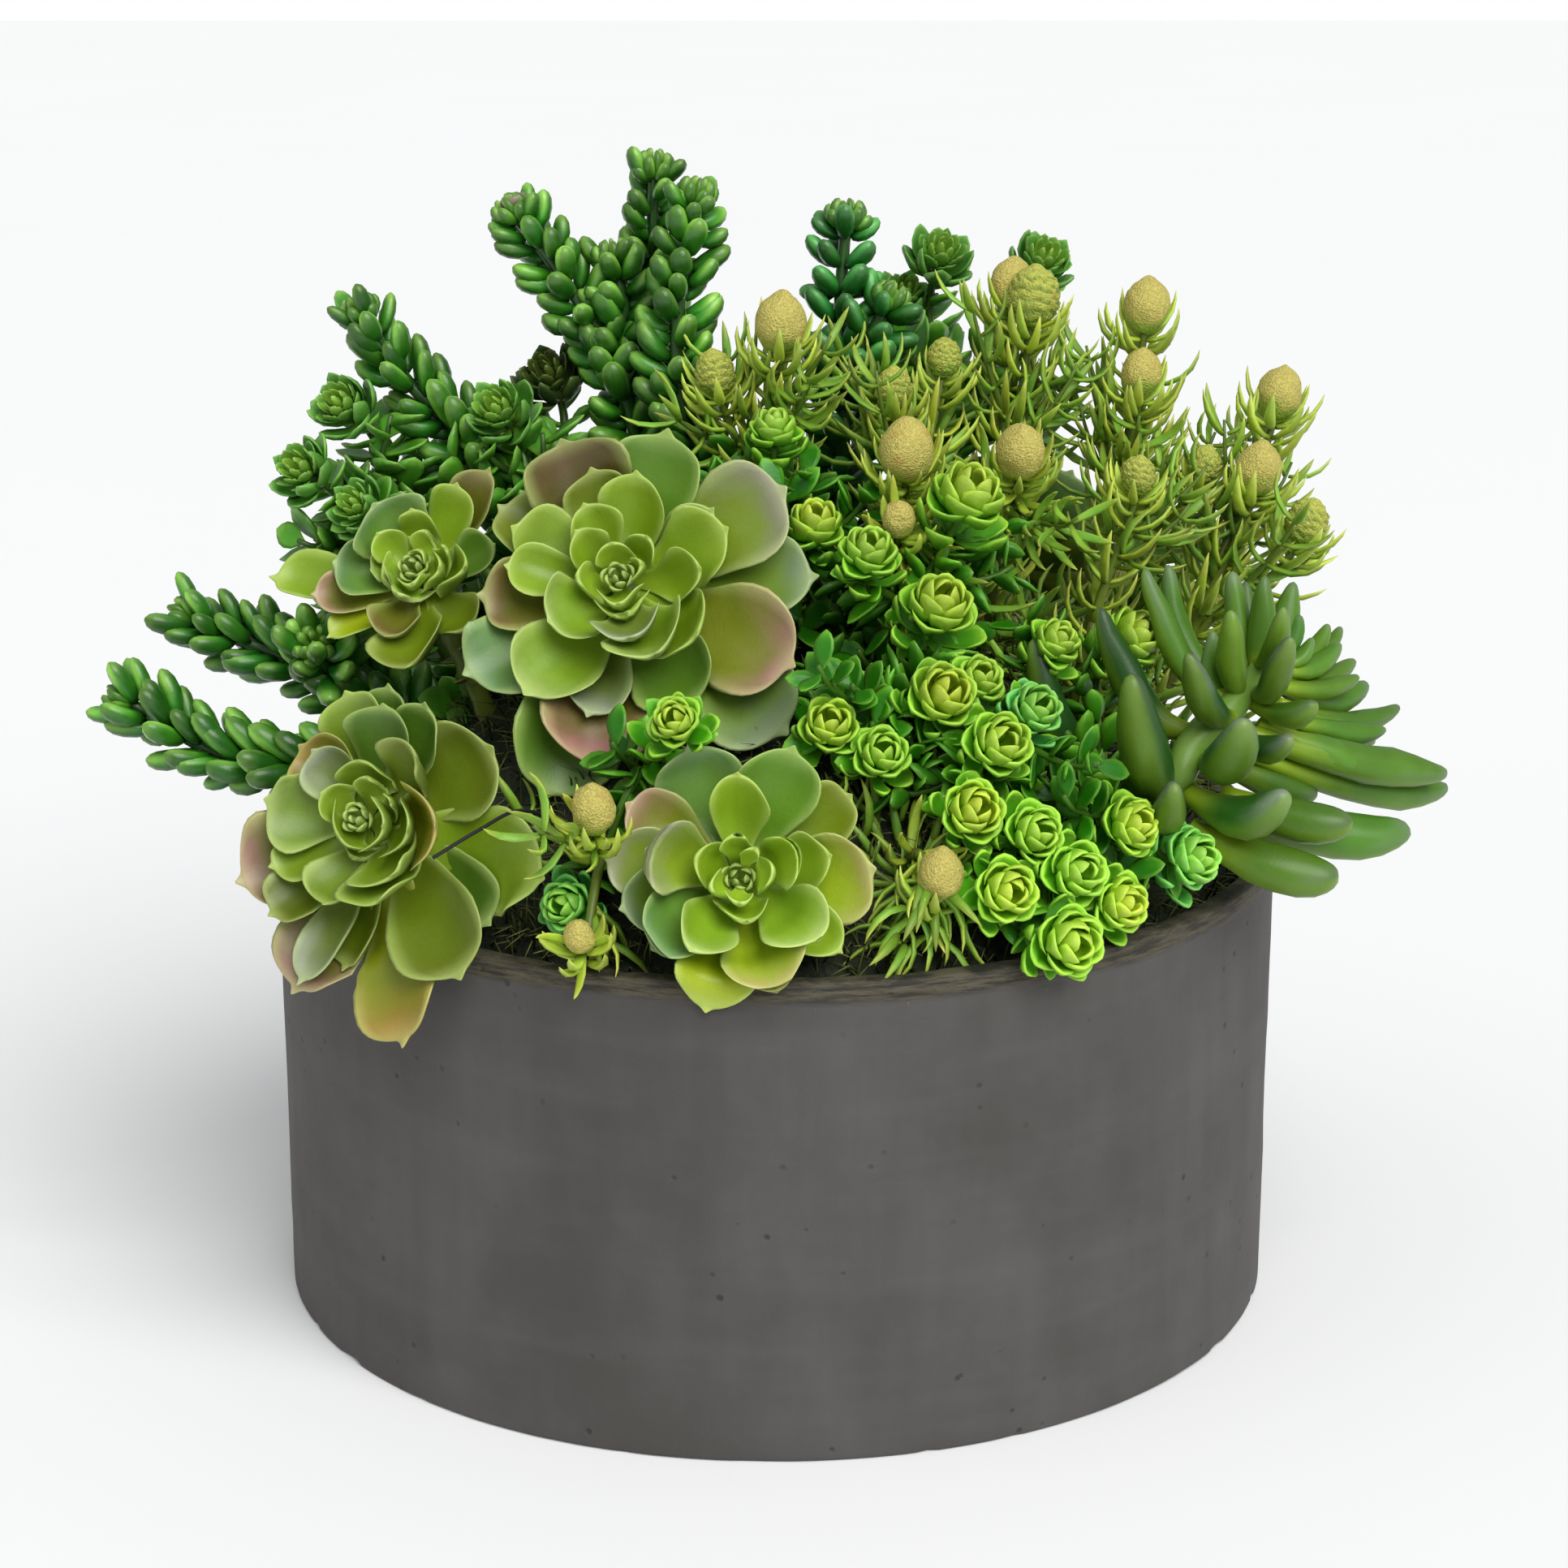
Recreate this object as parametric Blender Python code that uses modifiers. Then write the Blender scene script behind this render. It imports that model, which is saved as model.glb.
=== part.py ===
"""Succulent dish garden: succulents on a domed moss bed in a round fibre-cement bowl.

Metres, +Z up. The origin is the middle of the bowl's underside, and -Y is the front.
"""
import math
from dataclasses import dataclass

import bmesh
import bpy
from mathutils import Matrix, Vector
from mathutils.bvhtree import BVHTree

MM = 0.001
GAP = 0.3 * MM
UP = Vector((0, 0, 1))
SIDEWAYS = Vector((1, 0, 0))

# Bowl
BOWL_HEIGHT = 148 * MM
BOWL_RADIUS = 160 * MM
BOWL_WALL = 7 * MM
BOWL_FLOOR = 12 * MM
BOWL_EDGE = 1.2 * MM
BOWL_STEPS = 64

# Foam and moss: both domed, the moss lying on the foam
BED_RADIUS = BOWL_RADIUS - BOWL_WALL - 2 * MM
BED_STEPS = 24
MOSS_EDGE_HEIGHT = 134 * MM
MOSS_CROWN_HEIGHT = 218 * MM
MOSS_THICKNESS = 6 * MM
DOME_RINGS = 4
DOME_POWER = 2.4

# Stems: a straight foot goes down through the moss into the foam
FOOT_DEPTH = 38 * MM
FOOT_RISE = 6 * MM
STEM_SIDES = 5
BORE_CLEARANCE = 0.4 * MM
ROSETTE_STEM_RADIUS = 3.0 * MM
TAIL_STEM_RADIUS = 2.4 * MM
TAIL_SPACING = 15 * MM
TAIL_BARE_LENGTH = 26 * MM
FORK_RADIUS = 1.5 * MM
FORK_SPACING = 9 * MM
SPRIG_STEM_RADIUS = 1.9 * MM
BRANCH_RADIUS = 1.3 * MM

# Rosettes threaded on a stem's peg
PEG_RADIUS = 1.6 * MM
COLLAR_WALL = 2.6 * MM
COLLAR_HEIGHT = 3.2 * MM
HEAD_DEPTH = 13 * MM

# What the plants' heads point away from
BED_FOCUS = Vector((0, 0, 120)) * MM
BUD_LIFT = Vector((0, 0, 60)) * MM

# How growth finds room: a leaf tries these sizes, a stem these sideways swings in mm and degrees
OFF_STEM_SHARE = 0.08
BRANCH_STEPS = 5
SHARP_ANGLE = math.radians(50)
LEAF_SCALES = (1.0, 0.86, 0.74, 0.62, 0.5, 0.4)
SWINGS = [(0, 0)] + [(reach, turn) for reach in (4, 8, 12) for turn in range(0, 360, 45)]


@dataclass(frozen=True)
class Leaf:
    """A leaf's length, widest half width and half thickness, its rise at both ends, and its outline."""

    length: float
    half_width: float
    half_thickness: float
    rise_at_base: float
    rise_at_tip: float
    outline: tuple = ((0.38, 0.78, 1.0), (0.78, 1.0, 0.9), (1.0, 0.14, 0.4))


@dataclass(frozen=True)
class Rosette:
    """A broad-leaved head on its own stem."""

    name: str
    root: tuple
    heart: tuple
    facing: tuple
    outer: Leaf
    middle: Leaf
    inner: Leaf
    count: int = 6
    turn: float = 0.0


@dataclass(frozen=True)
class Tail:
    """A stem of plump leaves through the given points, with an optional side branch."""

    name: str
    root: tuple
    points: tuple
    fork: tuple = ()


@dataclass(frozen=True)
class Sprig:
    """A stem that parts into branches, each with a head at its end."""

    name: str
    root: tuple
    heads: tuple


PLUMP_LEAF = Leaf(13 * MM, 3.4 * MM, 3.0 * MM, 28, 55, ((0.55, 1.0, 1.0), (1.0, 0.45, 0.45)))
MINI_LEAF = Leaf(8 * MM, 3.4 * MM, 0.8 * MM, 0, 44, ((1.0, 0.8, 0.8),))
SAW_LEAF = Leaf(10.5 * MM, 4.0 * MM, 0.9 * MM, 10, 50, ((1.0, 0.7, 0.7),))
NEEDLE_LEAF = Leaf(16 * MM, 1.0 * MM, 0.7 * MM, 45, 60, ((1.0, 0.5, 0.5),))
FINGER_OUTLINE = ((0.4, 1.0, 1.0), (0.82, 0.9, 0.9), (1.0, 0.25, 0.25))
FINGER_LEAF = Leaf(46 * MM, 5.6 * MM, 5.2 * MM, 22, 52, FINGER_OUTLINE)


def broad(length, width, rise, curl, thickness=2.6):
    """A flat leaf from its length and width in mm."""
    return Leaf(length * MM, width * MM / 2, thickness * MM / 2, rise, curl)


ROSETTES = (
    Rosette("center_echeveria", (-42, -40), (-52, -72, 248), (-0.12, -0.86, 0.50),
            broad(45, 28, 2, 20), broad(30, 21, 30, 62), broad(15, 11, 55, 80, 2.0), 6, 10),
    Rosette("front_echeveria", (-12, -92), (-12.5, -142, 172), (0.02, -0.93, 0.36),
            broad(34, 21, 8, 22), broad(24, 17, 32, 62), broad(12, 9, 55, 80, 2.0), 6, 20),
    Rosette("left_echeveria", (-92, -84), (-123, -118, 186), (-0.42, -0.83, 0.36),
            broad(44, 25, 4, 24), broad(29, 19, 32, 64), broad(14, 10, 55, 80, 2.0), 6, 0),
    Rosette("upper_left_echeveria", (-92, -26), (-114, -42, 242), (-0.20, -0.80, 0.56),
            broad(28, 18, 6, 30), broad(19, 13, 34, 66), broad(10, 7.5, 55, 80, 1.8), 6, 30),
    Rosette("back_right_echeveria", (62, 76), (86, 108, 216), (0.48, 0.74, 0.46),
            broad(41, 25, 4, 22), broad(28, 19, 32, 62), broad(14, 10, 55, 80, 2.0), 6, 12),
    Rosette("back_left_echeveria", (-62, 78), (-80, 112, 206), (-0.45, 0.78, 0.42),
            broad(38, 24, 6, 24), broad(26, 18, 32, 62), broad(13, 9.5, 55, 80, 2.0), 6, 24),
)

TAILS = (
    Tail("left_low_tail", (-110, -56),
         ((-118, -54, 182), (-142, -50, 180), (-172, -45, 182), (-208, -40, 200))),
    Tail("left_high_tail", (-116, -14), ((-124, -12, 190), (-146, -8, 200), (-170, -3, 208), (-194, 0, 215))),
    Tail("upper_left_tail", (-80, 14), ((-84, 13, 240), (-98, 12, 268), (-119, 15, 289), (-134, 15, 313))),
    Tail("tall_left_tail", (-44, 22), ((-46, 21, 262), (-54, 22, 292), (-69, 25, 319), (-86, 25, 344))),
    Tail("tall_back_tail", (-34, 50), ((-38, 46, 262), (-42, 40, 300), (-42, 36, 332), (-41, 35, 359))),
    Tail("tall_front_tail", (-18, 6), ((-24, 4, 256), (-33, 4, 290), (-32, 8, 322), (-27, 10, 354))),
    Tail("top_right_tail", (16, 20), ((18, 19, 256), (19, 18, 280), (18, 25, 311), (20, 30, 343)),
         ((24, 18, 296), (34, 20, 318))),
    Tail("back_tail", (4, 70), ((4, 84, 224), (0, 120, 232), (-4, 154, 222), (-8, 182, 200))),
)

MINI_SPRIGS = (
    Sprig("middle_mini_sprig", (4, -30), ((-3, -40, 284), (9, -56, 258))),
    Sprig("high_mini_sprig", (36, -52), ((55, -62, 268), (25, -76, 254), (46, -86, 240))),
    Sprig("side_mini_sprig", (26, -84), ((44, -110, 219), (13, -112, 210), (28, -124, 203))),
    Sprig("low_mini_sprig", (56, -88), ((62, -120, 207), (74, -106, 214), (54, -136, 191))),
    Sprig("rim_mini_sprig", (70, -110), ((74, -134, 184), (88, -138, 172), (63, -148, 171), (82, -153, 156))),
    Sprig("right_mini_sprig", (92, -92), ((101, -114, 180), (99, -132, 163), (120, -107, 169))),
    Sprig("left_mini_sprig", (-34, -92), ((-31, -134, 218), (-63, -134, 163))),
    Sprig("back_left_mini_sprig", (-30, 96), ((-34, 130, 182), (-18, 142, 170), (-44, 150, 158))),
    Sprig("back_mini_sprig", (20, 92), ((2, 132, 186), (28, 136, 178), (14, 118, 200), (48, 140, 172))),
)

NEEDLE_SPRIGS = (
    Sprig("top_needle_sprig", (-2, -8), ((-1, -20, 313), (-21, -16, 297))),
    Sprig("inner_needle_sprig", (36, -16), ((50, 0, 299), (34, -12, 291), (37, -45, 278))),
    Sprig("tall_needle_sprig", (66, 4), ((78, 10, 317), (72, -36, 276))),
    Sprig("high_right_needle_sprig", (96, 10), ((114, 10, 314), (112, 2, 294), (132, -4, 266))),
    Sprig("far_right_needle_sprig", (116, -16), ((156, 5, 287), (148, -12, 266), (163, -16, 250))),
    Sprig("right_needle_sprig", (91, -30), ((109, -27, 267),)),
    Sprig("front_needle_sprig", (-50, -116), ((-54, -143, 194), (-58, -154, 160))),
    Sprig("rim_needle_sprig", (36, -120), ((44, -143, 175),)),
    Sprig("back_needle_sprig", (100, 52), ((130, 70, 226), (118, 84, 206), (144, 48, 212))),
)

SAW_SPRIGS = (
    Sprig("left_saw_sprig", (-106, 14), ((-140, 6, 284), (-152, -8, 266))),
    Sprig("inner_saw_sprig", (-72, -12), ((-90, -2, 284),)),
    Sprig("top_saw_sprig", (52, 36), ((51, 50, 326), (40, 58, 312), (84, 42, 325))),
    Sprig("back_saw_sprig", (-108, 48), ((-136, 70, 212), (-150, 44, 214), (-118, 96, 190))),
)

FINGER_ROOT = (98, -62)
FINGER_POINTS = ((102, -70, 186), (118, -76, 198), (144, -68, 212), (170, -54, 225))
FINGER_STEM_RADIUS = 6.5 * MM

WIRE_ROOT = (-78, -106)
WIRE_POINTS = ((-80, -112, 176), (-88, -124, 188), (-96, -133, 186))
WIRE_RADIUS = 0.9 * MM

CHARCOAL = (0.105, 0.100, 0.094)
FOAM_GREEN = (0.060, 0.150, 0.060)
MOSS_GREEN = (0.020, 0.030, 0.010)
LEAF_GREEN = (0.300, 0.420, 0.060)
OUTER_GREEN = (0.210, 0.330, 0.120)
HEART_GREEN = (0.420, 0.560, 0.110)
TAIL_GREEN = (0.040, 0.200, 0.030)
MINI_GREEN = (0.120, 0.520, 0.050)
NEEDLE_GREEN = (0.320, 0.420, 0.050)
SAW_GREEN = (0.070, 0.210, 0.040)
FINGER_GREEN = (0.130, 0.260, 0.070)
WIRE_BLACK = (0.010, 0.010, 0.010)


def clear_scene():
    """Empties the file, and returns the collections for the parts and for the cutters."""
    for found in list(bpy.data.objects):
        bpy.data.objects.remove(found, do_unlink=True)
    made = []
    for name in ("succulent_dish_garden", "cutters"):
        collection = bpy.data.collections.new(name)
        bpy.context.scene.collection.children.link(collection)
        made.append(collection)
    return made


PARTS, CUTTERS = clear_scene()


def finish(name, mesh, colour, roughness):
    """Puts a mesh in the scene as one sub-part with its own material."""
    material = bpy.data.materials.new(name)
    material.use_nodes = True
    shader = material.node_tree.nodes["Principled BSDF"]
    shader.inputs["Base Color"].default_value = (*colour, 1)
    shader.inputs["Roughness"].default_value = roughness
    shader.inputs["Metallic"].default_value = 0.0
    mesh.materials.append(material)
    item = bpy.data.objects.new(name, mesh)
    PARTS.objects.link(item)
    return item


def turned(name, profile, steps, colour, roughness):
    """Revolves a half section around Z; the profile runs down the outer side."""
    mesh = bpy.data.meshes.new(name)
    edges = [(i, i + 1) for i in range(len(profile) - 1)]
    mesh.from_pydata([(radius, 0, height) for radius, height in profile], edges, [])
    item = finish(name, mesh, colour, roughness)
    screw = item.modifiers.new("turn", "SCREW")
    screw.steps = steps
    screw.render_steps = steps
    screw.use_merge_vertices = True
    screw.merge_threshold = 0.00005
    screw.use_smooth_shade = True
    return item


def moss_height(x, y):
    """Height of the moss at a place: flat at the crown and steeper towards the rim."""
    share = (math.hypot(x, y) / BED_RADIUS) ** DOME_POWER
    return MOSS_EDGE_HEIGHT + (MOSS_CROWN_HEIGHT - MOSS_EDGE_HEIGHT) * (1 - share)


def dome(depth):
    """The domed half section, from the crown to the edge, this far below the moss."""
    rings = [BED_RADIUS * ring / DOME_RINGS for ring in range(DOME_RINGS + 1)]
    return [(radius, moss_height(radius, 0) - depth) for radius in rings]


def bowl():
    """The bowl: a straight wall on a flat floor, open at the top, with eased edges."""
    inside = BOWL_RADIUS - BOWL_WALL
    profile = [
        (0, BOWL_FLOOR),
        (inside - BOWL_EDGE, BOWL_FLOOR),
        (inside, BOWL_FLOOR + BOWL_EDGE),
        (inside, BOWL_HEIGHT - BOWL_EDGE),
        (inside + BOWL_EDGE, BOWL_HEIGHT),
        (BOWL_RADIUS - BOWL_EDGE, BOWL_HEIGHT),
        (BOWL_RADIUS, BOWL_HEIGHT - BOWL_EDGE),
        (BOWL_RADIUS, BOWL_EDGE),
        (BOWL_RADIUS - BOWL_EDGE, 0),
        (0, 0),
    ]
    return turned("bowl", profile, BOWL_STEPS, CHARCOAL, 0.8)


def bed():
    """The foam that fills the bowl and the moss on top, both bored for every stem."""
    foam_base = BOWL_FLOOR + GAP
    foam_profile = dome(MOSS_THICKNESS + GAP) + [(BED_RADIUS, foam_base), (0, foam_base)]
    foam = turned("floral_foam", foam_profile, BED_STEPS, FOAM_GREEN, 0.95)
    moss_profile = dome(0) + list(reversed(dome(MOSS_THICKNESS)))
    moss = turned("moss_bed", moss_profile, BED_STEPS, MOSS_GREEN, 1.0)
    return foam, moss


class Obstacles:
    """Everything grown so far, asked before a new stem or leaf takes its place."""

    def __init__(self):
        self.found = []

    def add(self, owner, points, faces):
        """Notes a closed shape under its owner's name."""
        middle = sum(points, Vector()) / len(points)
        reach = max((point - middle).length for point in points)
        self.found.append((owner, BVHTree.FromPolygons(points, faces), middle, reach))

    def hit(self, points, faces, owner=None, mine=None):
        """Whether a shape meets any other; the owner's own shapes are kept apart by mine."""
        middle = sum(points, Vector()) / len(points)
        reach = max((point - middle).length for point in points)
        tree = BVHTree.FromPolygons(points, faces)
        own_tree = BVHTree.FromPolygons(*mine) if mine else None
        for other, other_tree, other_middle, other_reach in self.found:
            if (other_middle - middle).length > reach + other_reach:
                continue
            asked = own_tree if other == owner else tree
            if asked and asked.overlap(other_tree):
                return other
        return None


OBSTACLES = Obstacles()


def across(along, wide):
    """The two unit vectors of a section: its width and its thickness."""
    side = (wide - along * wide.dot(along)).normalized()
    return side, along.cross(side)


def section(corners, middle, normal, step, wide, swell=0.0):
    """Lays a face's corners on the section at a step: (centre, along, half width, half thickness)."""
    centre, along, half_width, half_thickness = step
    side, thick = across(along, wide)
    turn = normal.rotation_difference(along)
    offsets = [turn @ (corner - middle) for corner in corners]
    most_side = max(abs(offset.dot(side)) for offset in offsets)
    most_thick = max(abs(offset.dot(thick)) for offset in offsets)
    return [
        centre
        + side * (half_width + swell) * offset.dot(side) / most_side
        + thick * (half_thickness + swell) * offset.dot(thick) / most_thick
        for offset in offsets
    ]


def sweep(corners, middle, normal, steps, wide, swell):
    """All sections of a sweep as points and faces, made a little larger than they will be."""
    count = len(corners)
    rings = [list(corners)]
    for step in steps:
        rings.append(section(rings[-1], middle, normal, step, wide, swell))
        middle, normal = step[0], step[1]
    points = [point for ring in rings for point in ring]
    faces = []
    for ring in range(len(rings) - 1):
        for corner in range(count):
            after = (corner + 1) % count
            low = ring * count
            faces.append((low + corner, low + after, low + count + after, low + count + corner))
    faces.append(tuple(range(len(points) - count, len(points))))
    return points, faces


class Plant:
    """One node while it grows: a closed mesh whose faces are drawn out into stems, heads and leaves."""

    def __init__(self, name, colour, roughness=0.5):
        self.name = name
        self.colour = colour
        self.roughness = roughness
        self.mesh = bmesh.new()
        self.sites = []

    def pull(self, face, steps, wide):
        """Draws a face out through the steps, and returns the side faces of each step and the end face."""
        sides = []
        for step in steps:
            middle = face.calc_center_median()
            face.normal_update()
            normal = face.normal.copy()
            face = bmesh.ops.extrude_discrete_faces(self.mesh, faces=[face])["faces"][0]
            placed = section([v.co.copy() for v in face.verts], middle, normal, step, wide)
            for vertex, place in zip(face.verts, placed):
                vertex.co = place
            face.normal_update()
            around = [other for edge in face.edges for other in edge.link_faces if other is not face]
            for side in around:
                side.normal_update()
            sides.append(around)
        return sides, face

    def foot(self, root, radius):
        """The straight foot in the foam, its bore in foam and moss, and the face that its stem grows from."""
        x, y = root[0] * MM, root[1] * MM
        top = moss_height(x, y) + FOOT_RISE
        height = FOOT_DEPTH + FOOT_RISE
        place = Matrix.Translation((x, y, top - height / 2))
        bmesh.ops.create_cone(
            self.mesh, cap_ends=True, segments=STEM_SIDES, radius1=radius, radius2=radius, depth=height,
            matrix=place,
        )
        bore_radius = radius + BORE_CLEARANCE
        bore_height = height + BORE_CLEARANCE + 40 * MM
        bore_place = Matrix.Translation((x, y, top - height - BORE_CLEARANCE + bore_height / 2))
        BORES.append((bore_radius, bore_height, bore_place))
        self.mesh.faces.ensure_lookup_table()
        for face in self.mesh.faces:
            face.normal_update()
        return max(self.mesh.faces, key=lambda face: face.normal.z), Vector((x, y, top))

    def note(self):
        """Adds the whole mesh so far to the obstacles."""
        self.mesh.verts.index_update()
        points = [vertex.co.copy() for vertex in self.mesh.verts]
        faces = [tuple(vertex.index for vertex in face.verts) for face in self.mesh.faces]
        OBSTACLES.add(self.name, points, faces)

    def grow_leaves(self):
        """Draws a leaf out of each noted face, smaller where a neighbour is in its way."""
        left_out = 0
        for face, up, leaf in self.sites:
            middle = face.calc_center_median()
            normal = face.normal.copy()
            corners = [vertex.co.copy() for vertex in face.verts]
            out = (normal - up * normal.dot(up)).normalized()
            wide = up.cross(out)
            for scale in LEAF_SCALES:
                steps = leaf_steps(leaf, middle, out, up, scale)
                points, faces = sweep(corners, middle, normal, steps, wide, 1.2 * GAP)
                mine = (clear_of_stem(points, len(corners)), faces)
                if OBSTACLES.hit(points, faces, self.name, mine) is None:
                    self.pull(face, steps, wide)
                    OBSTACLES.add(self.name, points, faces)
                    break
            else:
                left_out += 1
        return left_out

    def done(self):
        """Closes the mesh off as a sub-part of the object."""
        mesh = bpy.data.meshes.new(self.name)
        self.mesh.normal_update()
        self.mesh.to_mesh(mesh)
        self.mesh.free()
        mesh.shade_smooth()
        mesh.set_sharp_from_angle(angle=SHARP_ANGLE)
        return finish(self.name, mesh, self.colour, self.roughness)


BORES = []


def clear_of_stem(points, count):
    """A sweep's points with the first section moved off the stem that it grows from."""
    moved = [low.lerp(high, OFF_STEM_SHARE) for low, high in zip(points[:count], points[count:])]
    return moved + points[count:]


def leaf_steps(leaf, start, out, up, scale):
    """The sections of a leaf that leaves the stem at one rise and ends at another."""
    steps = []
    place = start.copy()
    share_before = 0.0
    for share, width, thickness in leaf.outline:
        middle_share = (share + share_before) / 2
        rise = math.radians(leaf.rise_at_base + (leaf.rise_at_tip - leaf.rise_at_base) * middle_share)
        along = out * math.cos(rise) + up * math.sin(rise)
        place = place + along * leaf.length * scale * (share - share_before)
        steps.append((place.copy(), along, leaf.half_width * scale * width, leaf.half_thickness * thickness))
        share_before = share
    return steps


def curve_through(points, spacing):
    """A Catmull-Rom curve through the points, sampled about this far apart."""
    ends = [points[0] * 2 - points[1], *points, points[-1] * 2 - points[-2]]
    found = []
    for before, start, end, after in zip(ends, ends[1:], ends[2:], ends[3:]):
        count = max(1, round((end - start).length / spacing))
        for index in range(count):
            t = index / count
            found.append(
                0.5 * (2 * start + (end - before) * t + (2 * before - 5 * start + 4 * end - after) * t**2
                       + (3 * start - before - 3 * end + after) * t**3)
            )
    return found + [points[-1]]


def stem_steps(path, radius_at, arriving=None):
    """Round sections along a path; radius_at gives the radius from the share of the way."""
    last = len(path) - 1
    steps = []
    for index in range(1, len(path)):
        along = (path[min(index + 1, last)] - path[index - 1]).normalized()
        if index == last and arriving:
            along = arriving
        radius = radius_at(index / last)
        steps.append((path[index], along, radius, radius))
    return steps


def arc(start, leaving, end, arriving, count):
    """A cubic from start to end with the given directions at both ends."""
    reach = (end - start).length * 0.38
    first, second = start + leaving * reach, end - arriving * reach
    found = []
    for index in range(count + 1):
        t = index / count
        s = 1 - t
        found.append(start * s**3 + first * 3 * s * s * t + second * 3 * s * t * t + end * t**3)
    return found


def swung(path, reach, turn):
    """The path with its middle pushed sideways."""
    push = Vector((math.cos(math.radians(turn)), math.sin(math.radians(turn)), 0)) * reach * MM
    last = len(path) - 1
    return [point + push * math.sin(math.pi * index / last) for index, point in enumerate(path)]


def pull_clear(plant, face, path, radius_at, wide, tail_steps=(), arriving=None):
    """Draws a stem out along the first swung path that meets nothing, then through the tail steps."""
    corners = [vertex.co.copy() for vertex in face.verts]
    middle, normal = face.calc_center_median(), face.normal.copy()
    for reach, turn in SWINGS:
        steps = stem_steps(swung(path, reach, turn), radius_at, arriving) + list(tail_steps)
        points, faces = sweep(corners, middle, normal, steps, wide, 1.2 * GAP)
        met = OBSTACLES.hit(points, faces, plant.name)
        if met is None:
            break
    else:
        print("no clear way:", plant.name, "meets", met, "at", [round(v / MM) for v in path[-1]])
    return plant.pull(face, steps, wide)


def collar(plant, base, facing, count, turn):
    """A ring around a stem's peg, and the outer faces that its leaves grow from."""
    inner = PEG_RADIUS + BORE_CLEARANCE
    outer = inner + COLLAR_WALL
    corners = [(inner, 0), (outer, 0), (outer, COLLAR_HEIGHT), (inner, COLLAR_HEIGHT)]
    vertices = [plant.mesh.verts.new((radius, 0, height)) for radius, height in corners]
    edges = [plant.mesh.edges.new((vertices[i], vertices[(i + 1) % 4])) for i in range(4)]
    bmesh.ops.spin(
        plant.mesh, geom=vertices + edges, axis=(0, 0, 1), cent=(0, 0, 0), steps=2 * count,
        angle=2 * math.pi, use_merge=True,
    )
    bmesh.ops.recalc_face_normals(plant.mesh, faces=plant.mesh.faces)
    plant.mesh.normal_update()
    middles = {face: face.calc_center_median() for face in plant.mesh.faces}
    faces = [face for face, middle in middles.items() if middle.xy.dot(face.normal.xy) > inner / 2]
    faces.sort(key=lambda face: math.atan2(middles[face].y, middles[face].x))
    place(plant, base, facing, turn)
    return faces[::2]


def place(plant, base, facing, turn):
    """Moves a head made around Z to its base, facing its way."""
    frame = UP.rotation_difference(facing).to_matrix().to_4x4() @ Matrix.Rotation(math.radians(turn), 4, "Z")
    bmesh.ops.transform(plant.mesh, matrix=Matrix.Translation(base) @ frame, verts=plant.mesh.verts)
    plant.mesh.normal_update()


def rosette(spec):
    """A stem with a peg, two collars of leaves and a heart."""
    facing = Vector(spec.facing).normalized()
    base = Vector(spec.heart) * MM - facing * HEAD_DEPTH
    stem = Plant(spec.name + "_stem", OUTER_GREEN)
    face, start = stem.foot(spec.root, ROSETTE_STEM_RADIUS)
    path = arc(start, UP, base, facing, BRANCH_STEPS)
    peg_length = 2 * (COLLAR_HEIGHT + GAP)
    peg_ends = (base, base + facing * peg_length)
    peg = [(end, facing, PEG_RADIUS, PEG_RADIUS) for end in peg_ends]
    pull_clear(stem, face, path, lambda share: ROSETTE_STEM_RADIUS, SIDEWAYS, peg, facing)
    stem.note()
    outer = Plant(spec.name + "_outer_leaves", OUTER_GREEN)
    middle = Plant(spec.name + "_middle_leaves", LEAF_GREEN)
    heart = Plant(spec.name + "_heart", HEART_GREEN)
    for plant, level, leaf in ((outer, 0, spec.outer), (middle, 1, spec.middle)):
        foot = base + facing * (GAP + level * (COLLAR_HEIGHT + GAP))
        faces = collar(plant, foot, facing, spec.count, spec.turn + level * 180 / spec.count)
        plant.sites = [(face, facing, leaf) for face in faces]
    cap_height = 9 * MM
    bmesh.ops.create_cone(
        heart.mesh, cap_ends=True, segments=STEM_SIDES, radius1=3.6 * MM, radius2=1.2 * MM, depth=cap_height,
        matrix=Matrix.Translation((0, 0, cap_height / 2)),
    )
    place(heart, base + facing * (peg_length + 2 * GAP), facing, spec.turn)
    around = [face for face in heart.mesh.faces if abs(face.normal.dot(facing)) < 0.8]
    heart.sites = [(face, facing, spec.inner) for face in around[::2]]
    for plant in (outer, middle, heart):
        plant.note()
    return [stem, outer, middle, heart]


def spiral(plant, rings, path, leaf, every=2):
    """Notes every other side face, shifted at each ring, as a place for a leaf."""
    for index, faces in enumerate(rings):
        start = path[min(index, len(path) - 2)]
        end = path[min(index + 1, len(path) - 1)]
        up = (end - start).normalized()
        plant.sites += [(face, up, leaf) for face in faces[index % 2::every]]


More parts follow.
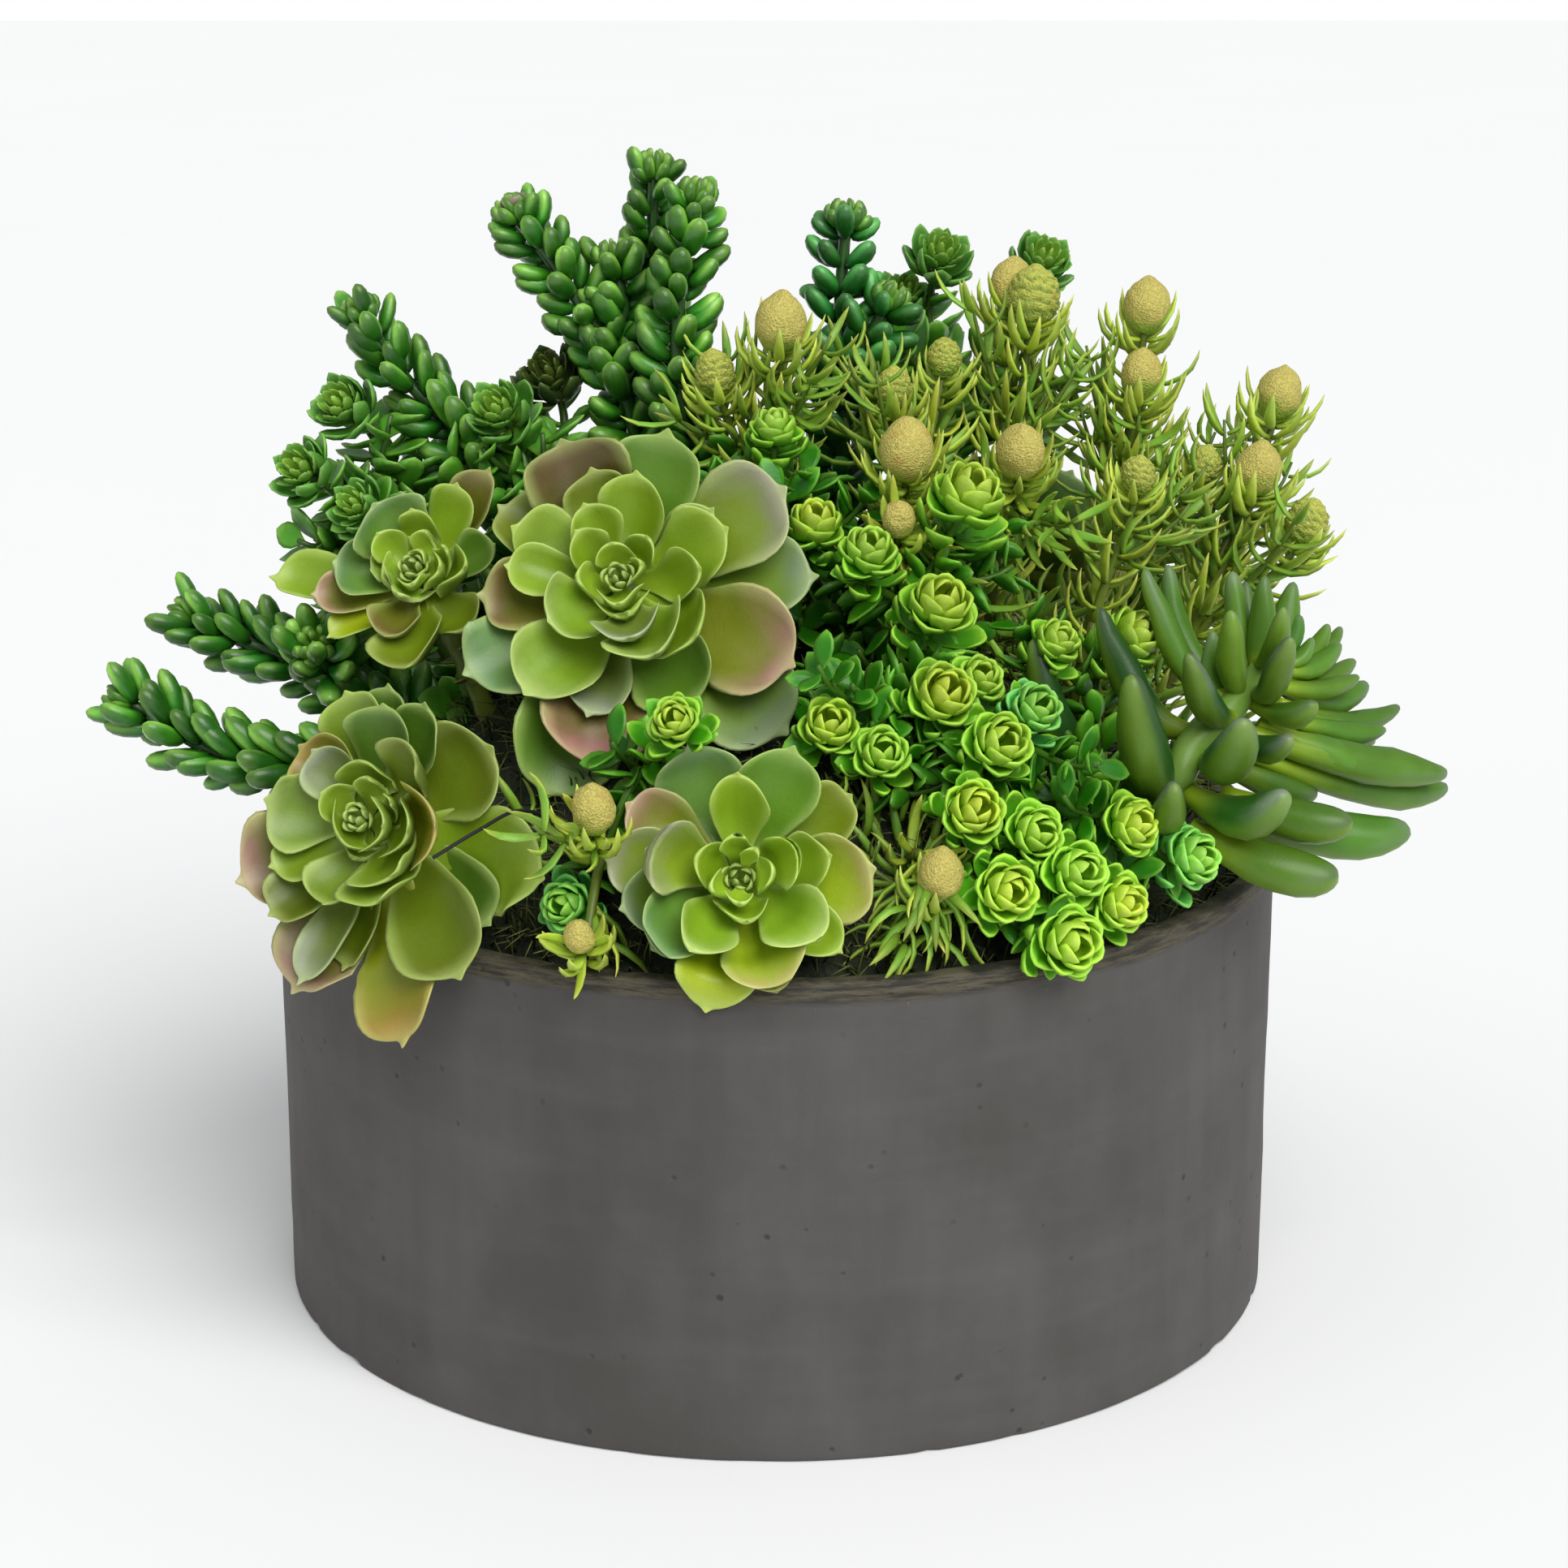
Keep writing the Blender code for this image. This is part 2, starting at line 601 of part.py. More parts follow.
def tail(spec):
    """A stem set with plump leaves, thinner towards its tip."""
    plant = Plant(spec.name, TAIL_GREEN, 0.4)
    face, start = plant.foot(spec.root, TAIL_STEM_RADIUS)
    path = curve_through([start] + [Vector(point) * MM for point in spec.points], TAIL_SPACING)
    rings, _ = pull_clear(plant, face, path, lambda share: TAIL_STEM_RADIUS * (1 - 0.4 * share), SIDEWAYS)
    bare = next(index for index, point in enumerate(path) if (point - start).length > TAIL_BARE_LENGTH)
    spiral(plant, rings[bare:], path[bare:], PLUMP_LEAF)
    if spec.fork:
        ring = min(range(len(rings)), key=lambda i: (path[i] - Vector(spec.fork[0]) * MM).length)
        toward = (Vector(spec.fork[-1]) * MM - path[ring]).normalized()
        side = max(rings[ring], key=lambda candidate: candidate.normal.dot(toward))
        plant.sites = [site for site in plant.sites if site[0] is not side]
        fork_points = [side.calc_center_median()] + [Vector(point) * MM for point in spec.fork]
        fork_path = curve_through(fork_points, FORK_SPACING)
        fork_rings, _ = plant.pull(side, stem_steps(fork_path, lambda share: FORK_RADIUS), UP)
        spiral(plant, fork_rings[1:], fork_path[1:], PLUMP_LEAF)
    plant.note()
    return plant


def head_cup(end, facing, radius):
    """Steps that widen a branch into a cup and close it with a low crown."""
    shape = ((0, 0.45), (0.5, 1), (1, 0.75), (1.25, 0.2))
    return [(end + facing * radius * rise, facing, radius * wide, radius * wide) for rise, wide in shape]


def head_bud(end, facing, radius):
    """Steps that swell a branch into a round bud."""
    found = []
    for turn in (35, 75, 115, 155):
        angle = math.radians(turn)
        place_now = end + facing * radius * (1 - math.cos(angle)) * 1.1
        found.append((place_now, facing, radius * math.sin(angle), radius * math.sin(angle)))
    return found


def sprig(spec, colour, cup_radius, cup_leaf, stem_leaf=None, bud_radius=0.0):
    """A forked stem: each branch ends in a cup of leaves or in a bud above needles."""
    plant = Plant(spec.name, colour)
    face, start = plant.foot(spec.root, SPRIG_STEM_RADIUS)
    heads = [Vector(head) * MM for head in spec.heads]
    mean = sum(heads, Vector()) / len(heads)
    hub = start + (mean - start) * 0.3 + UP * 4 * MM
    trunk = arc(start, UP, hub, (mean - start).normalized(), 3)
    rings, end = pull_clear(plant, face, trunk, lambda share: SPRIG_STEM_RADIUS, SIDEWAYS)
    free = [side for ring in rings[-2:] for side in ring] + [end]
    for head in heads:
        facing = (head - hub + BUD_LIFT if bud_radius else head - BED_FOCUS).normalized()
        side = max(free, key=lambda item: item.normal.dot((head - item.calc_center_median()).normalized()))
        free = [item for item in free if item is not side]
        neck = head - facing * (bud_radius or cup_radius) * 0.8
        path = arc(side.calc_center_median(), (side.normal + UP).normalized(), neck, facing, BRANCH_STEPS)
        tip = head_bud(neck, facing, bud_radius) if bud_radius else head_cup(neck, facing, cup_radius)
        wide = facing.cross(UP) if abs(facing.z) < 0.9 else SIDEWAYS
        branch, _ = pull_clear(plant, side, path, lambda share: BRANCH_RADIUS, wide, tip, facing)
        if stem_leaf:
            spiral(plant, branch[2:BRANCH_STEPS], path[2:], stem_leaf)
        if not bud_radius:
            plant.sites += [(item, facing, cup_leaf) for item in branch[BRANCH_STEPS + 1]]
        plant.note()
    return plant


def finger_plant():
    """The finger-leaved succulent: a thick leaning stem with fleshy fingers all round."""
    plant = Plant("finger_succulent", FINGER_GREEN, 0.45)
    face, start = plant.foot(FINGER_ROOT, 4.0 * MM)
    path = curve_through([start] + [Vector(point) * MM for point in FINGER_POINTS], 11 * MM)
    rings, _ = pull_clear(
        plant, face, path, lambda share: min(FINGER_STEM_RADIUS, (4.0 + 9 * share) * MM), SIDEWAYS
    )
    spiral(plant, rings[2:], path[2:], FINGER_LEAF)
    plant.note()
    return plant


def wire():
    """The thin black wire beside the left rosette."""
    plant = Plant("front_left_wire", WIRE_BLACK, 0.5)
    face, start = plant.foot(WIRE_ROOT, WIRE_RADIUS)
    path = curve_through([start] + [Vector(point) * MM for point in WIRE_POINTS], 12 * MM)
    pull_clear(plant, face, path, lambda share: WIRE_RADIUS, SIDEWAYS)
    plant.note()
    return plant


def bore_bed(foam, moss):
    """Cuts every stem's bore through the moss and into the foam."""
    mesh = bmesh.new()
    for radius, height, matrix in BORES:
        bmesh.ops.create_cone(
            mesh, cap_ends=True, segments=STEM_SIDES, radius1=radius, radius2=radius, depth=height,
            matrix=matrix,
        )
    data = bpy.data.meshes.new("stem_bores")
    mesh.to_mesh(data)
    mesh.free()
    cutter = bpy.data.objects.new("stem_bores", data)
    cutter.hide_render = True
    cutter.display_type = "WIRE"
    CUTTERS.objects.link(cutter)
    for item in (foam, moss):
        cut = item.modifiers.new("bores", "BOOLEAN")
        cut.operation = "DIFFERENCE"
        cut.object = cutter


def main():
    shell = bowl()
    foam, moss = bed()
    bpy.context.view_layer.update()
    for item in (shell, moss):
        found = item.evaluated_get(bpy.context.evaluated_depsgraph_get()).to_mesh()
        OBSTACLES.add(item.name, [vertex.co.copy() for vertex in found.vertices],
                      [tuple(face.vertices) for face in found.polygons])
    plants = [plant for spec in ROSETTES for plant in rosette(spec)]
    plants.append(finger_plant())
    plants += [tail(spec) for spec in TAILS]
    plants.append(wire())
    plants += [sprig(spec, SAW_GREEN, 6 * MM, SAW_LEAF) for spec in SAW_SPRIGS]
    plants += [sprig(spec, MINI_GREEN, 5.5 * MM, MINI_LEAF) for spec in MINI_SPRIGS]
    plants += [sprig(spec, NEEDLE_GREEN, 0, None, NEEDLE_LEAF, 7.5 * MM) for spec in NEEDLE_SPRIGS]
    for plant in plants:
        left_out = plant.grow_leaves()
        if left_out:
            print(plant.name, "left out", left_out, "of", len(plant.sites))
        plant.done()
    bore_bed(foam, moss)


main()
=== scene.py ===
"""Looks of the succulent dish garden: a straight grey bowl crowded with soft plastic succulents.

Positions are in millimetres in the part's own frame: the origin is the middle of the bowl's
foot, X to the right, Y away from the camera and Z up. Leaves of one kind are worked out
together, as arrays whose first axis runs over the leaves.
"""

import logging
import math
from collections.abc import Iterator, Sequence
from dataclasses import dataclass, replace
from enum import Enum
from typing import ClassVar

import bpy
import numpy as np
from mathutils import Matrix
from mathutils.kdtree import KDTree


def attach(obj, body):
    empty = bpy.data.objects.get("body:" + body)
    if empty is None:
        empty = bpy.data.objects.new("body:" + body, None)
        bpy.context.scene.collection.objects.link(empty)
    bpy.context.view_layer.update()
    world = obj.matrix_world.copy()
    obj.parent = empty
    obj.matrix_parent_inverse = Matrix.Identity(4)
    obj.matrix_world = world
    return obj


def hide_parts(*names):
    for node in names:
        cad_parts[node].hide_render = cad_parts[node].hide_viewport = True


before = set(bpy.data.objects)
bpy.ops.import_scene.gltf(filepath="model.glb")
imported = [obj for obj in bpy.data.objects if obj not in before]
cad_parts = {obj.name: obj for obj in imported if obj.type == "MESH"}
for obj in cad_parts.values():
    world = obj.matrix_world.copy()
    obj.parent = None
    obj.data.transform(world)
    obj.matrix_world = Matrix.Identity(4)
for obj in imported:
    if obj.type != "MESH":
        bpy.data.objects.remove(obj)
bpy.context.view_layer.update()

LOG = logging.getLogger("dish_garden")
Array = np.ndarray
Triple = tuple[float, float, float]
Colour = tuple[float, float, float, float]

MM = 0.001
UP = np.array((0.0, 0.0, 1.0))
RIGHT = np.array((1.0, 0.0, 0.0))
GOLDEN_ANGLE = math.radians(137.508)

# The camera, and how far the plants stand to its right of where the CAD model has them
IMAGE_SIZE = 1932
FOCAL_PIXELS = 4401.28
CAMERA_PLACE = np.array((0.0, -1109.5, 476.8))
CAMERA_PITCH = 0.2775
CAMERA_YAW = 0.0023
PLANTING_SHIFT = np.array((2.5, 0.0, 0.0))

# The bowl and the dome of moss in it
BOWL_HEIGHT = 148.0
BOWL_RADIUS = 160.0
BOWL_WALL = 7.0
BOWL_FLOOR = 12.0
BED_RADIUS = 151.0
MOSS_EDGE = 134.0
MOSS_RISE = 84.0
MOSS_THICKNESS = 6.0
DOME_POWER = 2.4

# How far over the moss a stem starts to bend, and how far under that it goes on
FOOT_RISE = 6.0
BURIED = 12.0

# How far shoots keep inside the rim, below the height at which they may pass over it
SHOOT_REACH = 146.0
SHOOT_HEIGHT = 165.0

# How near two leaves of a rosette are where one has to make room for the other
NEAR = 2.8

# Side of the lattice of the waves in thick leaves
WAVE_CELL = 11.0


def paint(red: int, green: int, blue: int) -> Colour:
    """A display colour, 0 to 255 a channel, as linear values with full alpha.

    Args:
        red: Red share.
        green: Green share.
        blue: Blue share.

    Returns:
        Red, green, blue and alpha.
    """
    shares = (channel / 255 for channel in (red, green, blue))
    linear = (s / 12.92 if s <= 0.04045 else ((s + 0.055) / 1.055) ** 2.4 for s in shares)
    return (*linear, 1.0)


def unit(vectors: Array) -> Array:
    """Vectors scaled to length one along their last axis."""
    return vectors / np.maximum(np.linalg.norm(vectors, axis=-1, keepdims=True), 1e-9)


def lumps(points: Array, cell: float, seed: float) -> Array:
    """Smooth random values between -1 and 1 in space.

    Every corner of a cubic lattice has a random value, the fraction of a large sine, and a
    point takes the smoothly weighted mean of the eight corners round it.

    Args:
        points: Places, with x, y and z on the last axis.
        cell: Side of the lattice's cubes.
        seed: Shifts the random values.

    Returns:
        One value a point.
    """
    scaled = points / cell
    low = np.floor(scaled)
    share = scaled - low
    share = share * share * (3 - 2 * share)
    total = np.zeros(points.shape[:-1])
    for corner in np.ndindex(2, 2, 2):
        at = low + corner
        mixed = np.sin(at @ np.array((12.9898, 78.233, 37.719)) + seed) * 43758.5453
        weight = np.prod(np.where(corner, share, 1 - share), axis=-1)
        total += weight * (mixed - np.floor(mixed))
    return 2 * total - 1


def waves(points: Array, reach: float) -> Array:
    """Smooth random shifts of points by up to a reach, which make shapes a little uneven."""
    return reach * np.stack([lumps(points, WAVE_CELL, seed) for seed in (1, 2, 3)], axis=-1)


def run_along(path: Array) -> Array:
    """Length of a path up to each of its points."""
    return np.concatenate(((0.0,), np.cumsum(np.linalg.norm(np.diff(path, axis=0), axis=1))))


def sampled(rows: Array, run: Array, at: Array) -> Array:
    """Rows of x, y and z interpolated at some lengths of a run."""
    return np.stack([np.interp(at, run, rows[:, axis]) for axis in range(3)], axis=1)


def curve_through(points: Sequence[Triple] | Array, count: int) -> Array:
    """A smooth line through points, evenly spaced by length.

    Between two points it is the cubic whose slopes there are half the step between their
    neighbours.

    Args:
        points: The points it passes.
        count: How many points it has.

    Returns:
        Its points, one a row.
    """
    given = np.asarray(points, float)
    padded = np.vstack((2 * given[:1] - given[1:2], given, 2 * given[-1:] - given[-2:-1]))
    spot = np.linspace(0, len(given) - 1, 16 * len(given))
    index = np.minimum(spot.astype(int), len(given) - 2)
    t = (spot - index)[:, None]
    before, first, second, after = (padded[index + step] for step in range(4))
    fine = 0.5 * (
        2 * first
        + (second - before) * t
        + (2 * before - 5 * first + 4 * second - after) * t**2
        + (3 * first - before - 3 * second + after) * t**3
    )
    run = run_along(fine)
    return sampled(fine, run, np.linspace(0, run[-1], count))


def arc(start: Array, leaving: Array, end: Array, arriving: Array, count: int) -> Array:
    """A cubic curve that leaves and arrives in given directions.

    Its two handles are 0.38 of the distance long.

    Args:
        start: First point.
        leaving: Direction there.
        end: Last point.
        arriving: Direction there.
        count: How many points it has.

    Returns:
        Its points, one a row.
    """
    t = np.linspace(0, 1, count)[:, None]
    handle = 0.38 * np.linalg.norm(end - start)
    first, second = start + unit(leaving) * handle, end - unit(arriving) * handle
    return start * (1 - t) ** 3 + 3 * first * t * (1 - t) ** 2 + 3 * second * t**2 * (1 - t) + end * t**3


def moss_height(radius: Array | float) -> Array | float:
    """Height of the moss at a distance from the middle: a dome that falls as radius^2.4."""
    return MOSS_EDGE + MOSS_RISE * (1 - (radius / BED_RADIUS) ** DOME_POWER)


def rooted(root: tuple[float, float], rise: float = FOOT_RISE) -> Array:
    """The point a little above the moss where a stem starts."""
    return np.array((*root, moss_height(math.hypot(*root)) + rise))


def grown(root: tuple[float, float], points: Sequence[Triple], count: int) -> Array:
    """A stem's centre line, from under the moss through its root and these points."""
    start = rooted(root)
    return curve_through([start - UP * BURIED, start, *points], count)


def crosswise(axis: Array) -> Array:
    """Two crosswise directions of an axis, as the columns that turn points into flat ones."""
    across = unit(np.cross(axis, UP + RIGHT * 0.01))
    return np.stack((across, np.cross(axis, across)), axis=1)


def sides_of(path: Array) -> tuple[Array, Array, Array]:
    """Directions along a path and crosswise to it.

    The first crosswise one is level with X, or with Y where the path itself runs along X.

    Args:
        path: The path's points.

    Returns:
        Along, first and second crosswise directions at each point.
    """
    along = unit(np.gradient(path, axis=0))
    chord = unit(path[-1] - path[0])
    away = RIGHT if abs(chord[0]) < 0.8 else np.array((0.0, 1.0, 0.0))
    first = unit(np.cross(along, away))
    return along, first, np.cross(along, first)


def about_axis(radius: Array, height: Array, angle: Array) -> Array:
    """Points at some radii, heights and angles round the bowl's axis."""
    return np.stack((radius * np.cos(angle), radius * np.sin(angle), height), axis=-1)


def above_moss(point: Array, clear: float) -> Array:
    """Moves the end of a shoot inside the rim, where it is low, and up off the moss.

    Args:
        point: Where the shoot would end.
        clear: How far over the moss it has to be.

    Returns:
        Where it ends.
    """
    radius = math.hypot(point[0], point[1])
    reach = min(1.0, SHOOT_REACH / radius) if point[2] < SHOOT_HEIGHT else 1.0
    x, y = point[:2] * reach
    return np.array((x, y, max(point[2], moss_height(min(radius, SHOOT_REACH)) + clear)))


def blend(first: Sequence[float], second: Sequence[float], share: Array | float) -> Array:
    """A colour between two others: the first at a share of 0, the second at 1."""
    return np.array(first) * (1 - share) + np.array(second) * share


class Value:
    """A socket of a material's node tree; arithmetic on it adds Math nodes."""

    def __init__(self, shader: "Shader", socket: bpy.types.NodeSocket) -> None:
        """Wraps one socket of the shader."""
        self.shader = shader
        self.socket = socket

    def _math(self, operation: str, first: "Value | float", second: "Value | float") -> "Value":
        """One Math node on two values."""
        return self.shader.node("ShaderNodeMath", {"operation": operation}, {0: first, 1: second})

    def __add__(self, other: "Value | float") -> "Value":
        """This value plus another."""
        return self._math("ADD", self, other)

    def __radd__(self, other: float) -> "Value":
        """A number plus this value."""
        return self._math("ADD", other, self)

    def __sub__(self, other: "Value | float") -> "Value":
        """This value less another."""
        return self._math("SUBTRACT", self, other)

    def __rsub__(self, other: float) -> "Value":
        """A number less this value."""
        return self._math("SUBTRACT", other, self)

    def __mul__(self, other: "Value | float") -> "Value":
        """This value times another."""
        return self._math("MULTIPLY", self, other)

    def __rmul__(self, other: float) -> "Value":
        """A number times this value."""
        return self._math("MULTIPLY", other, self)

    def ramp(self, low: float, high: float) -> "Value":
        """A smooth step of this value, from 0 at low to 1 at high."""
        limits = {"Value": self, "From Min": low, "From Max": high}
        return self.shader.node("ShaderNodeMapRange", {"interpolation_type": "SMOOTHSTEP"}, limits)


class Shader:
    """The node tree of one material, which ends in a Principled surface."""

    def __init__(self, name: str) -> None:
        """Starts an empty material.

        Args:
            name: The material's name.
        """
        self.material = bpy.data.materials.new(name)
        self.material.use_nodes = True
        self.tree = self.material.node_tree
        self.tree.nodes.clear()

    def node(
        self, kind: str, settings: dict[str, object], inputs: dict[int | str, object], output: int | str = 0
    ) -> Value:
        """Adds a node: its settings first, then the values or links of its sockets.

        Args:
            kind: The node's type.
            settings: Its properties; "stops" holds a ramp's positions and colours.
            inputs: A value or a Value for each socket named or numbered.
            output: The socket that is handed back.

        Returns:
            That output.
        """
        made = self.tree.nodes.new(kind)
        for key, setting in settings.items():
            if key == "stops":
                made.color_ramp.elements.remove(made.color_ramp.elements[0])
                made.color_ramp.elements[0].position, made.color_ramp.elements[0].color = setting[0]
                for position, colour in setting[1:]:
                    made.color_ramp.elements.new(position).color = colour
            else:
                setattr(made, key, setting)
        for key, given in inputs.items():
            if isinstance(given, Value):
                self.tree.links.new(given.socket, made.inputs[key])
            else:
                made.inputs[key].default_value = given
        return Value(self, made.outputs[output] if made.outputs else None)

    def mix(self, share: Value | float, first: Value | Colour, second: Value | Colour) -> Value:
        """Two colours mixed by a share, which is clamped."""
        return self.node("ShaderNodeMix", {"data_type": "RGBA"}, {0: share, 6: first, 7: second}, 2)

    def brightened(self, colour: Value, factor: Value | float) -> Value:
        """A colour scaled by a value."""
        return self.node("ShaderNodeVectorMath", {"operation": "SCALE"}, {0: colour, "Scale": factor})

    def attribute(self, name: str, output: str = "Color") -> Value:
        """The colour of an attribute of the mesh, or its alpha."""
        return self.node("ShaderNodeAttribute", {"attribute_name": name}, {}, output)

    def channel(self, colour: Value, index: int) -> Value:
        """The red, green or blue channel of a colour, by its number."""
        return self.node("ShaderNodeSeparateColor", {}, {0: colour}, index)

    def place(self) -> Value:
        """Object coordinates, in metres."""
        return self.node("ShaderNodeTexCoord", {}, {}, "Object")

    def stretched(self, place: Value, scale: Triple) -> Value:
        """Coordinates scaled by axis."""
        return self.node("ShaderNodeMapping", {}, {"Vector": place, "Scale": scale})

    def noise(self, place: Value, scale: float, detail: float = 2.0, rough: float = 0.5) -> Value:
        """Fractal noise from 0 to 1 at a scale per metre."""
        inputs = {"Vector": place, "Scale": scale, "Detail": detail, "Roughness": rough}
        return self.node("ShaderNodeTexNoise", {}, inputs)

    def cells(self, place: Value, scale: float) -> Value:
        """Distance to the nearest of scattered points, at a scale per metre."""
        return self.node("ShaderNodeTexVoronoi", {}, {"Vector": place, "Scale": scale})

    def bump(
        self, height: Value, distance: float, strength: float = 1.0, normal: Value | None = None
    ) -> Value:
        """A surface normal from heights.

        Args:
            height: The heights.
            distance: What a height of 1 stands for, in metres.
            strength: How strongly it acts.
            normal: Another bump that it goes on top of.

        Returns:
            The normal.
        """
        inputs: dict[int | str, object] = {"Strength": strength, "Distance": distance, "Height": height}
        if normal is not None:
            inputs["Normal"] = normal
        return self.node("ShaderNodeBump", {}, inputs)

    def surface(self, sockets: dict[int | str, object]) -> bpy.types.Material:
        """Ends the tree in a Principled surface.

        Args:
            sockets: The surface's values and links.

        Returns:
            The finished material.
        """
        made = self.node("ShaderNodeBsdfPrincipled", {}, sockets)
        self.node("ShaderNodeOutputMaterial", {}, {"Surface": made})
        return self.material


class Tint(Enum):
    """Body and tip colours of a rosette's leaf, and how strong the tip colour is."""

    HEART = (paint(136, 166, 40), paint(168, 194, 84), 0.5)
    LIME = (paint(122, 152, 24), paint(152, 178, 64), 0.6)
    PALE = (paint(124, 156, 36), paint(164, 184, 108), 0.8)
    YELLOW = (paint(150, 164, 16), paint(138, 158, 44), 0.6)
    GREEN = (paint(92, 130, 34), paint(84, 122, 50), 0.6)
    BLUE = (paint(96, 134, 52), paint(100, 132, 100), 0.95)
    SLATE = (paint(112, 140, 44), paint(96, 112, 104), 0.95)
    VIOLET = (paint(122, 144, 34), paint(138, 124, 130), 0.95)
    PINK = (paint(118, 126, 32), paint(168, 104, 120), 1.0)
    MAROON = (paint(82, 76, 22), paint(92, 58, 50), 0.9)
    BROWN = (paint(100, 102, 26), paint(112, 74, 58), 0.9)
    OLIVE = (paint(108, 128, 18), paint(104, 104, 32), 0.7)
    ORANGE = (paint(140, 150, 22), paint(170, 112, 54), 0.95)
    GREY = (paint(116, 136, 56), paint(148, 152, 146), 0.9)
    RUST = (paint(98, 94, 32), paint(178, 104, 118), 1.0)
    BLUSH = (paint(142, 162, 28), paint(166, 140, 100), 0.85)


@dataclass(frozen=True)
class LeafFinish:
    """Satin plastic of a kind of leaf; each leaf brings its own body and tip colour."""

    name: str
    roughness: float = 0.42
    gloss: float = 0.4
    tip_from: float = 0.45
    # Pale rim and its strength: partly the leaf's own pale margin, partly a painted highlight on its rounded
    # lip
    rim: float = 0.0
    rim_colour_and_highlight: Colour = paint(180, 200, 112)
    # Colour towards a leaf's base and its strength: the leaf's own colour, but for the plump and mini leaves
    # a dark painted shade
    root: float = 0.0
    root_colour_and_shade: Colour = paint(150, 170, 40)
    # Colour of the undersides and its strength; the plump leaves' dark undersides are painted shade
    under: float = 0.5
    under_colour_and_shade: Colour = paint(60, 90, 30)
    mottle: float = 0.25
    mottle_scale: float = 90.0
    bump: float = 0.00012
    coat: float = 0.12
    # Painted shade: how much the middle of a leaf, away from its rims and tip, is darkened
    soft: float = 0.0
    hollow: float = 0.0

    def material(self) -> bpy.types.Material:
        """Builds it: body, tip and rim colours from the leaf's own attributes, mottled by noise.

        The middle of each leaf is darkened as painted shade, and the pale rim is partly painted
        highlight.

        Returns:
            The material.
        """
        shader = Shader(self.name)
        place = shader.place()
        where, under = shader.attribute("where"), shader.attribute("where", "Alpha")
        tip, strength = shader.attribute("flush"), shader.attribute("flush", "Alpha")
        body = shader.attribute("body")
        along, edge = shader.channel(where, 0), shader.channel(where, 2)
        mottle = shader.noise(place, self.mottle_scale, 3)
        grain = shader.noise(place, 1500, 2)
        outer = along * 0.8 + edge * 0.3 + (mottle - 0.5) * 0.4
        colour = shader.mix(outer.ramp(self.tip_from, self.tip_from + 0.6) * strength, body, tip)
        # Colour towards the base: dark for the plump and mini leaves, which is painted shade where the
        # leaves crowd together
        colour = shader.mix((1 - along).ramp(0.55, 1.0) * self.root, colour, self.root_colour_and_shade)
        # Pale rim: partly the leaf's own margin, partly painted highlight
        colour = shader.mix(edge.ramp(0.1, 1.0) * self.rim, colour, self.rim_colour_and_highlight)
        # Underside colour: for the plump leaves a dark painted shade
        colour = shader.mix(under.ramp(0.5, 0.9) * self.under, colour, self.under_colour_and_shade)
        # The hollow term darkens the middle of each leaf: painted shade
        shade = 1 - self.mottle / 2 + mottle * self.mottle - (1 - edge.ramp(0.0, 0.9)) * self.hollow
        colour = shader.brightened(colour, shade + (grain - 0.5) * 0.12)
        return shader.surface({
            "Base Color": colour,
            "Roughness": self.roughness - 0.08 + mottle * 0.16,
            "Specular IOR Level": self.gloss,
            "Coat Weight": self.coat,
            "Coat Roughness": 0.3,
            "Subsurface Weight": self.soft,
            "Subsurface Radius": (0.6, 1.0, 0.3),
            "Subsurface Scale": 0.003,
            "Normal": shader.bump(grain + mottle * 2, self.bump, 0.6),
        })


@dataclass(frozen=True)
class BudFinish:
    """Granular ochre skin of a flower bud, with green low down and rusty patches."""

    name: str = "granular_bud"

    def material(self) -> bpy.types.Material:
        """Builds it: noise mixes the ochres, the bud's own attribute brings the green.

        Returns:
            The material.
        """
        shader = Shader(self.name)
        place = shader.place()
        where, body, tip = (shader.attribute(name) for name in ("where", "body", "flush"))
        along, groove = shader.channel(where, 0), shader.channel(where, 1)
        patch = shader.noise(place, 160, 3, 0.6)
        grit = shader.noise(place, 1300, 3, 0.7)
        pores = shader.cells(place, 1500)
        colour = shader.mix((along + (patch - 0.5) * 0.9).ramp(0.12, 0.5), body, tip)
        green = groove.ramp(0.35, 0.95) * (1 - along.ramp(0.7, 0.95)) * 0.75
        colour = shader.mix(green, colour, paint(74, 108, 30))
        colour = shader.mix(patch.ramp(0.56, 0.74) * 0.4, colour, paint(170, 118, 52))
        colour = shader.mix(grit.ramp(0.52, 0.7) * 0.35, colour, paint(112, 92, 30))
        colour = shader.brightened(colour, 0.82 + pores * 0.5)
        return shader.surface({
            "Base Color": colour,
            "Roughness": 0.62 + grit * 0.2,
            "Normal": shader.bump(grit + pores, 0.0005, 0.9),
        })


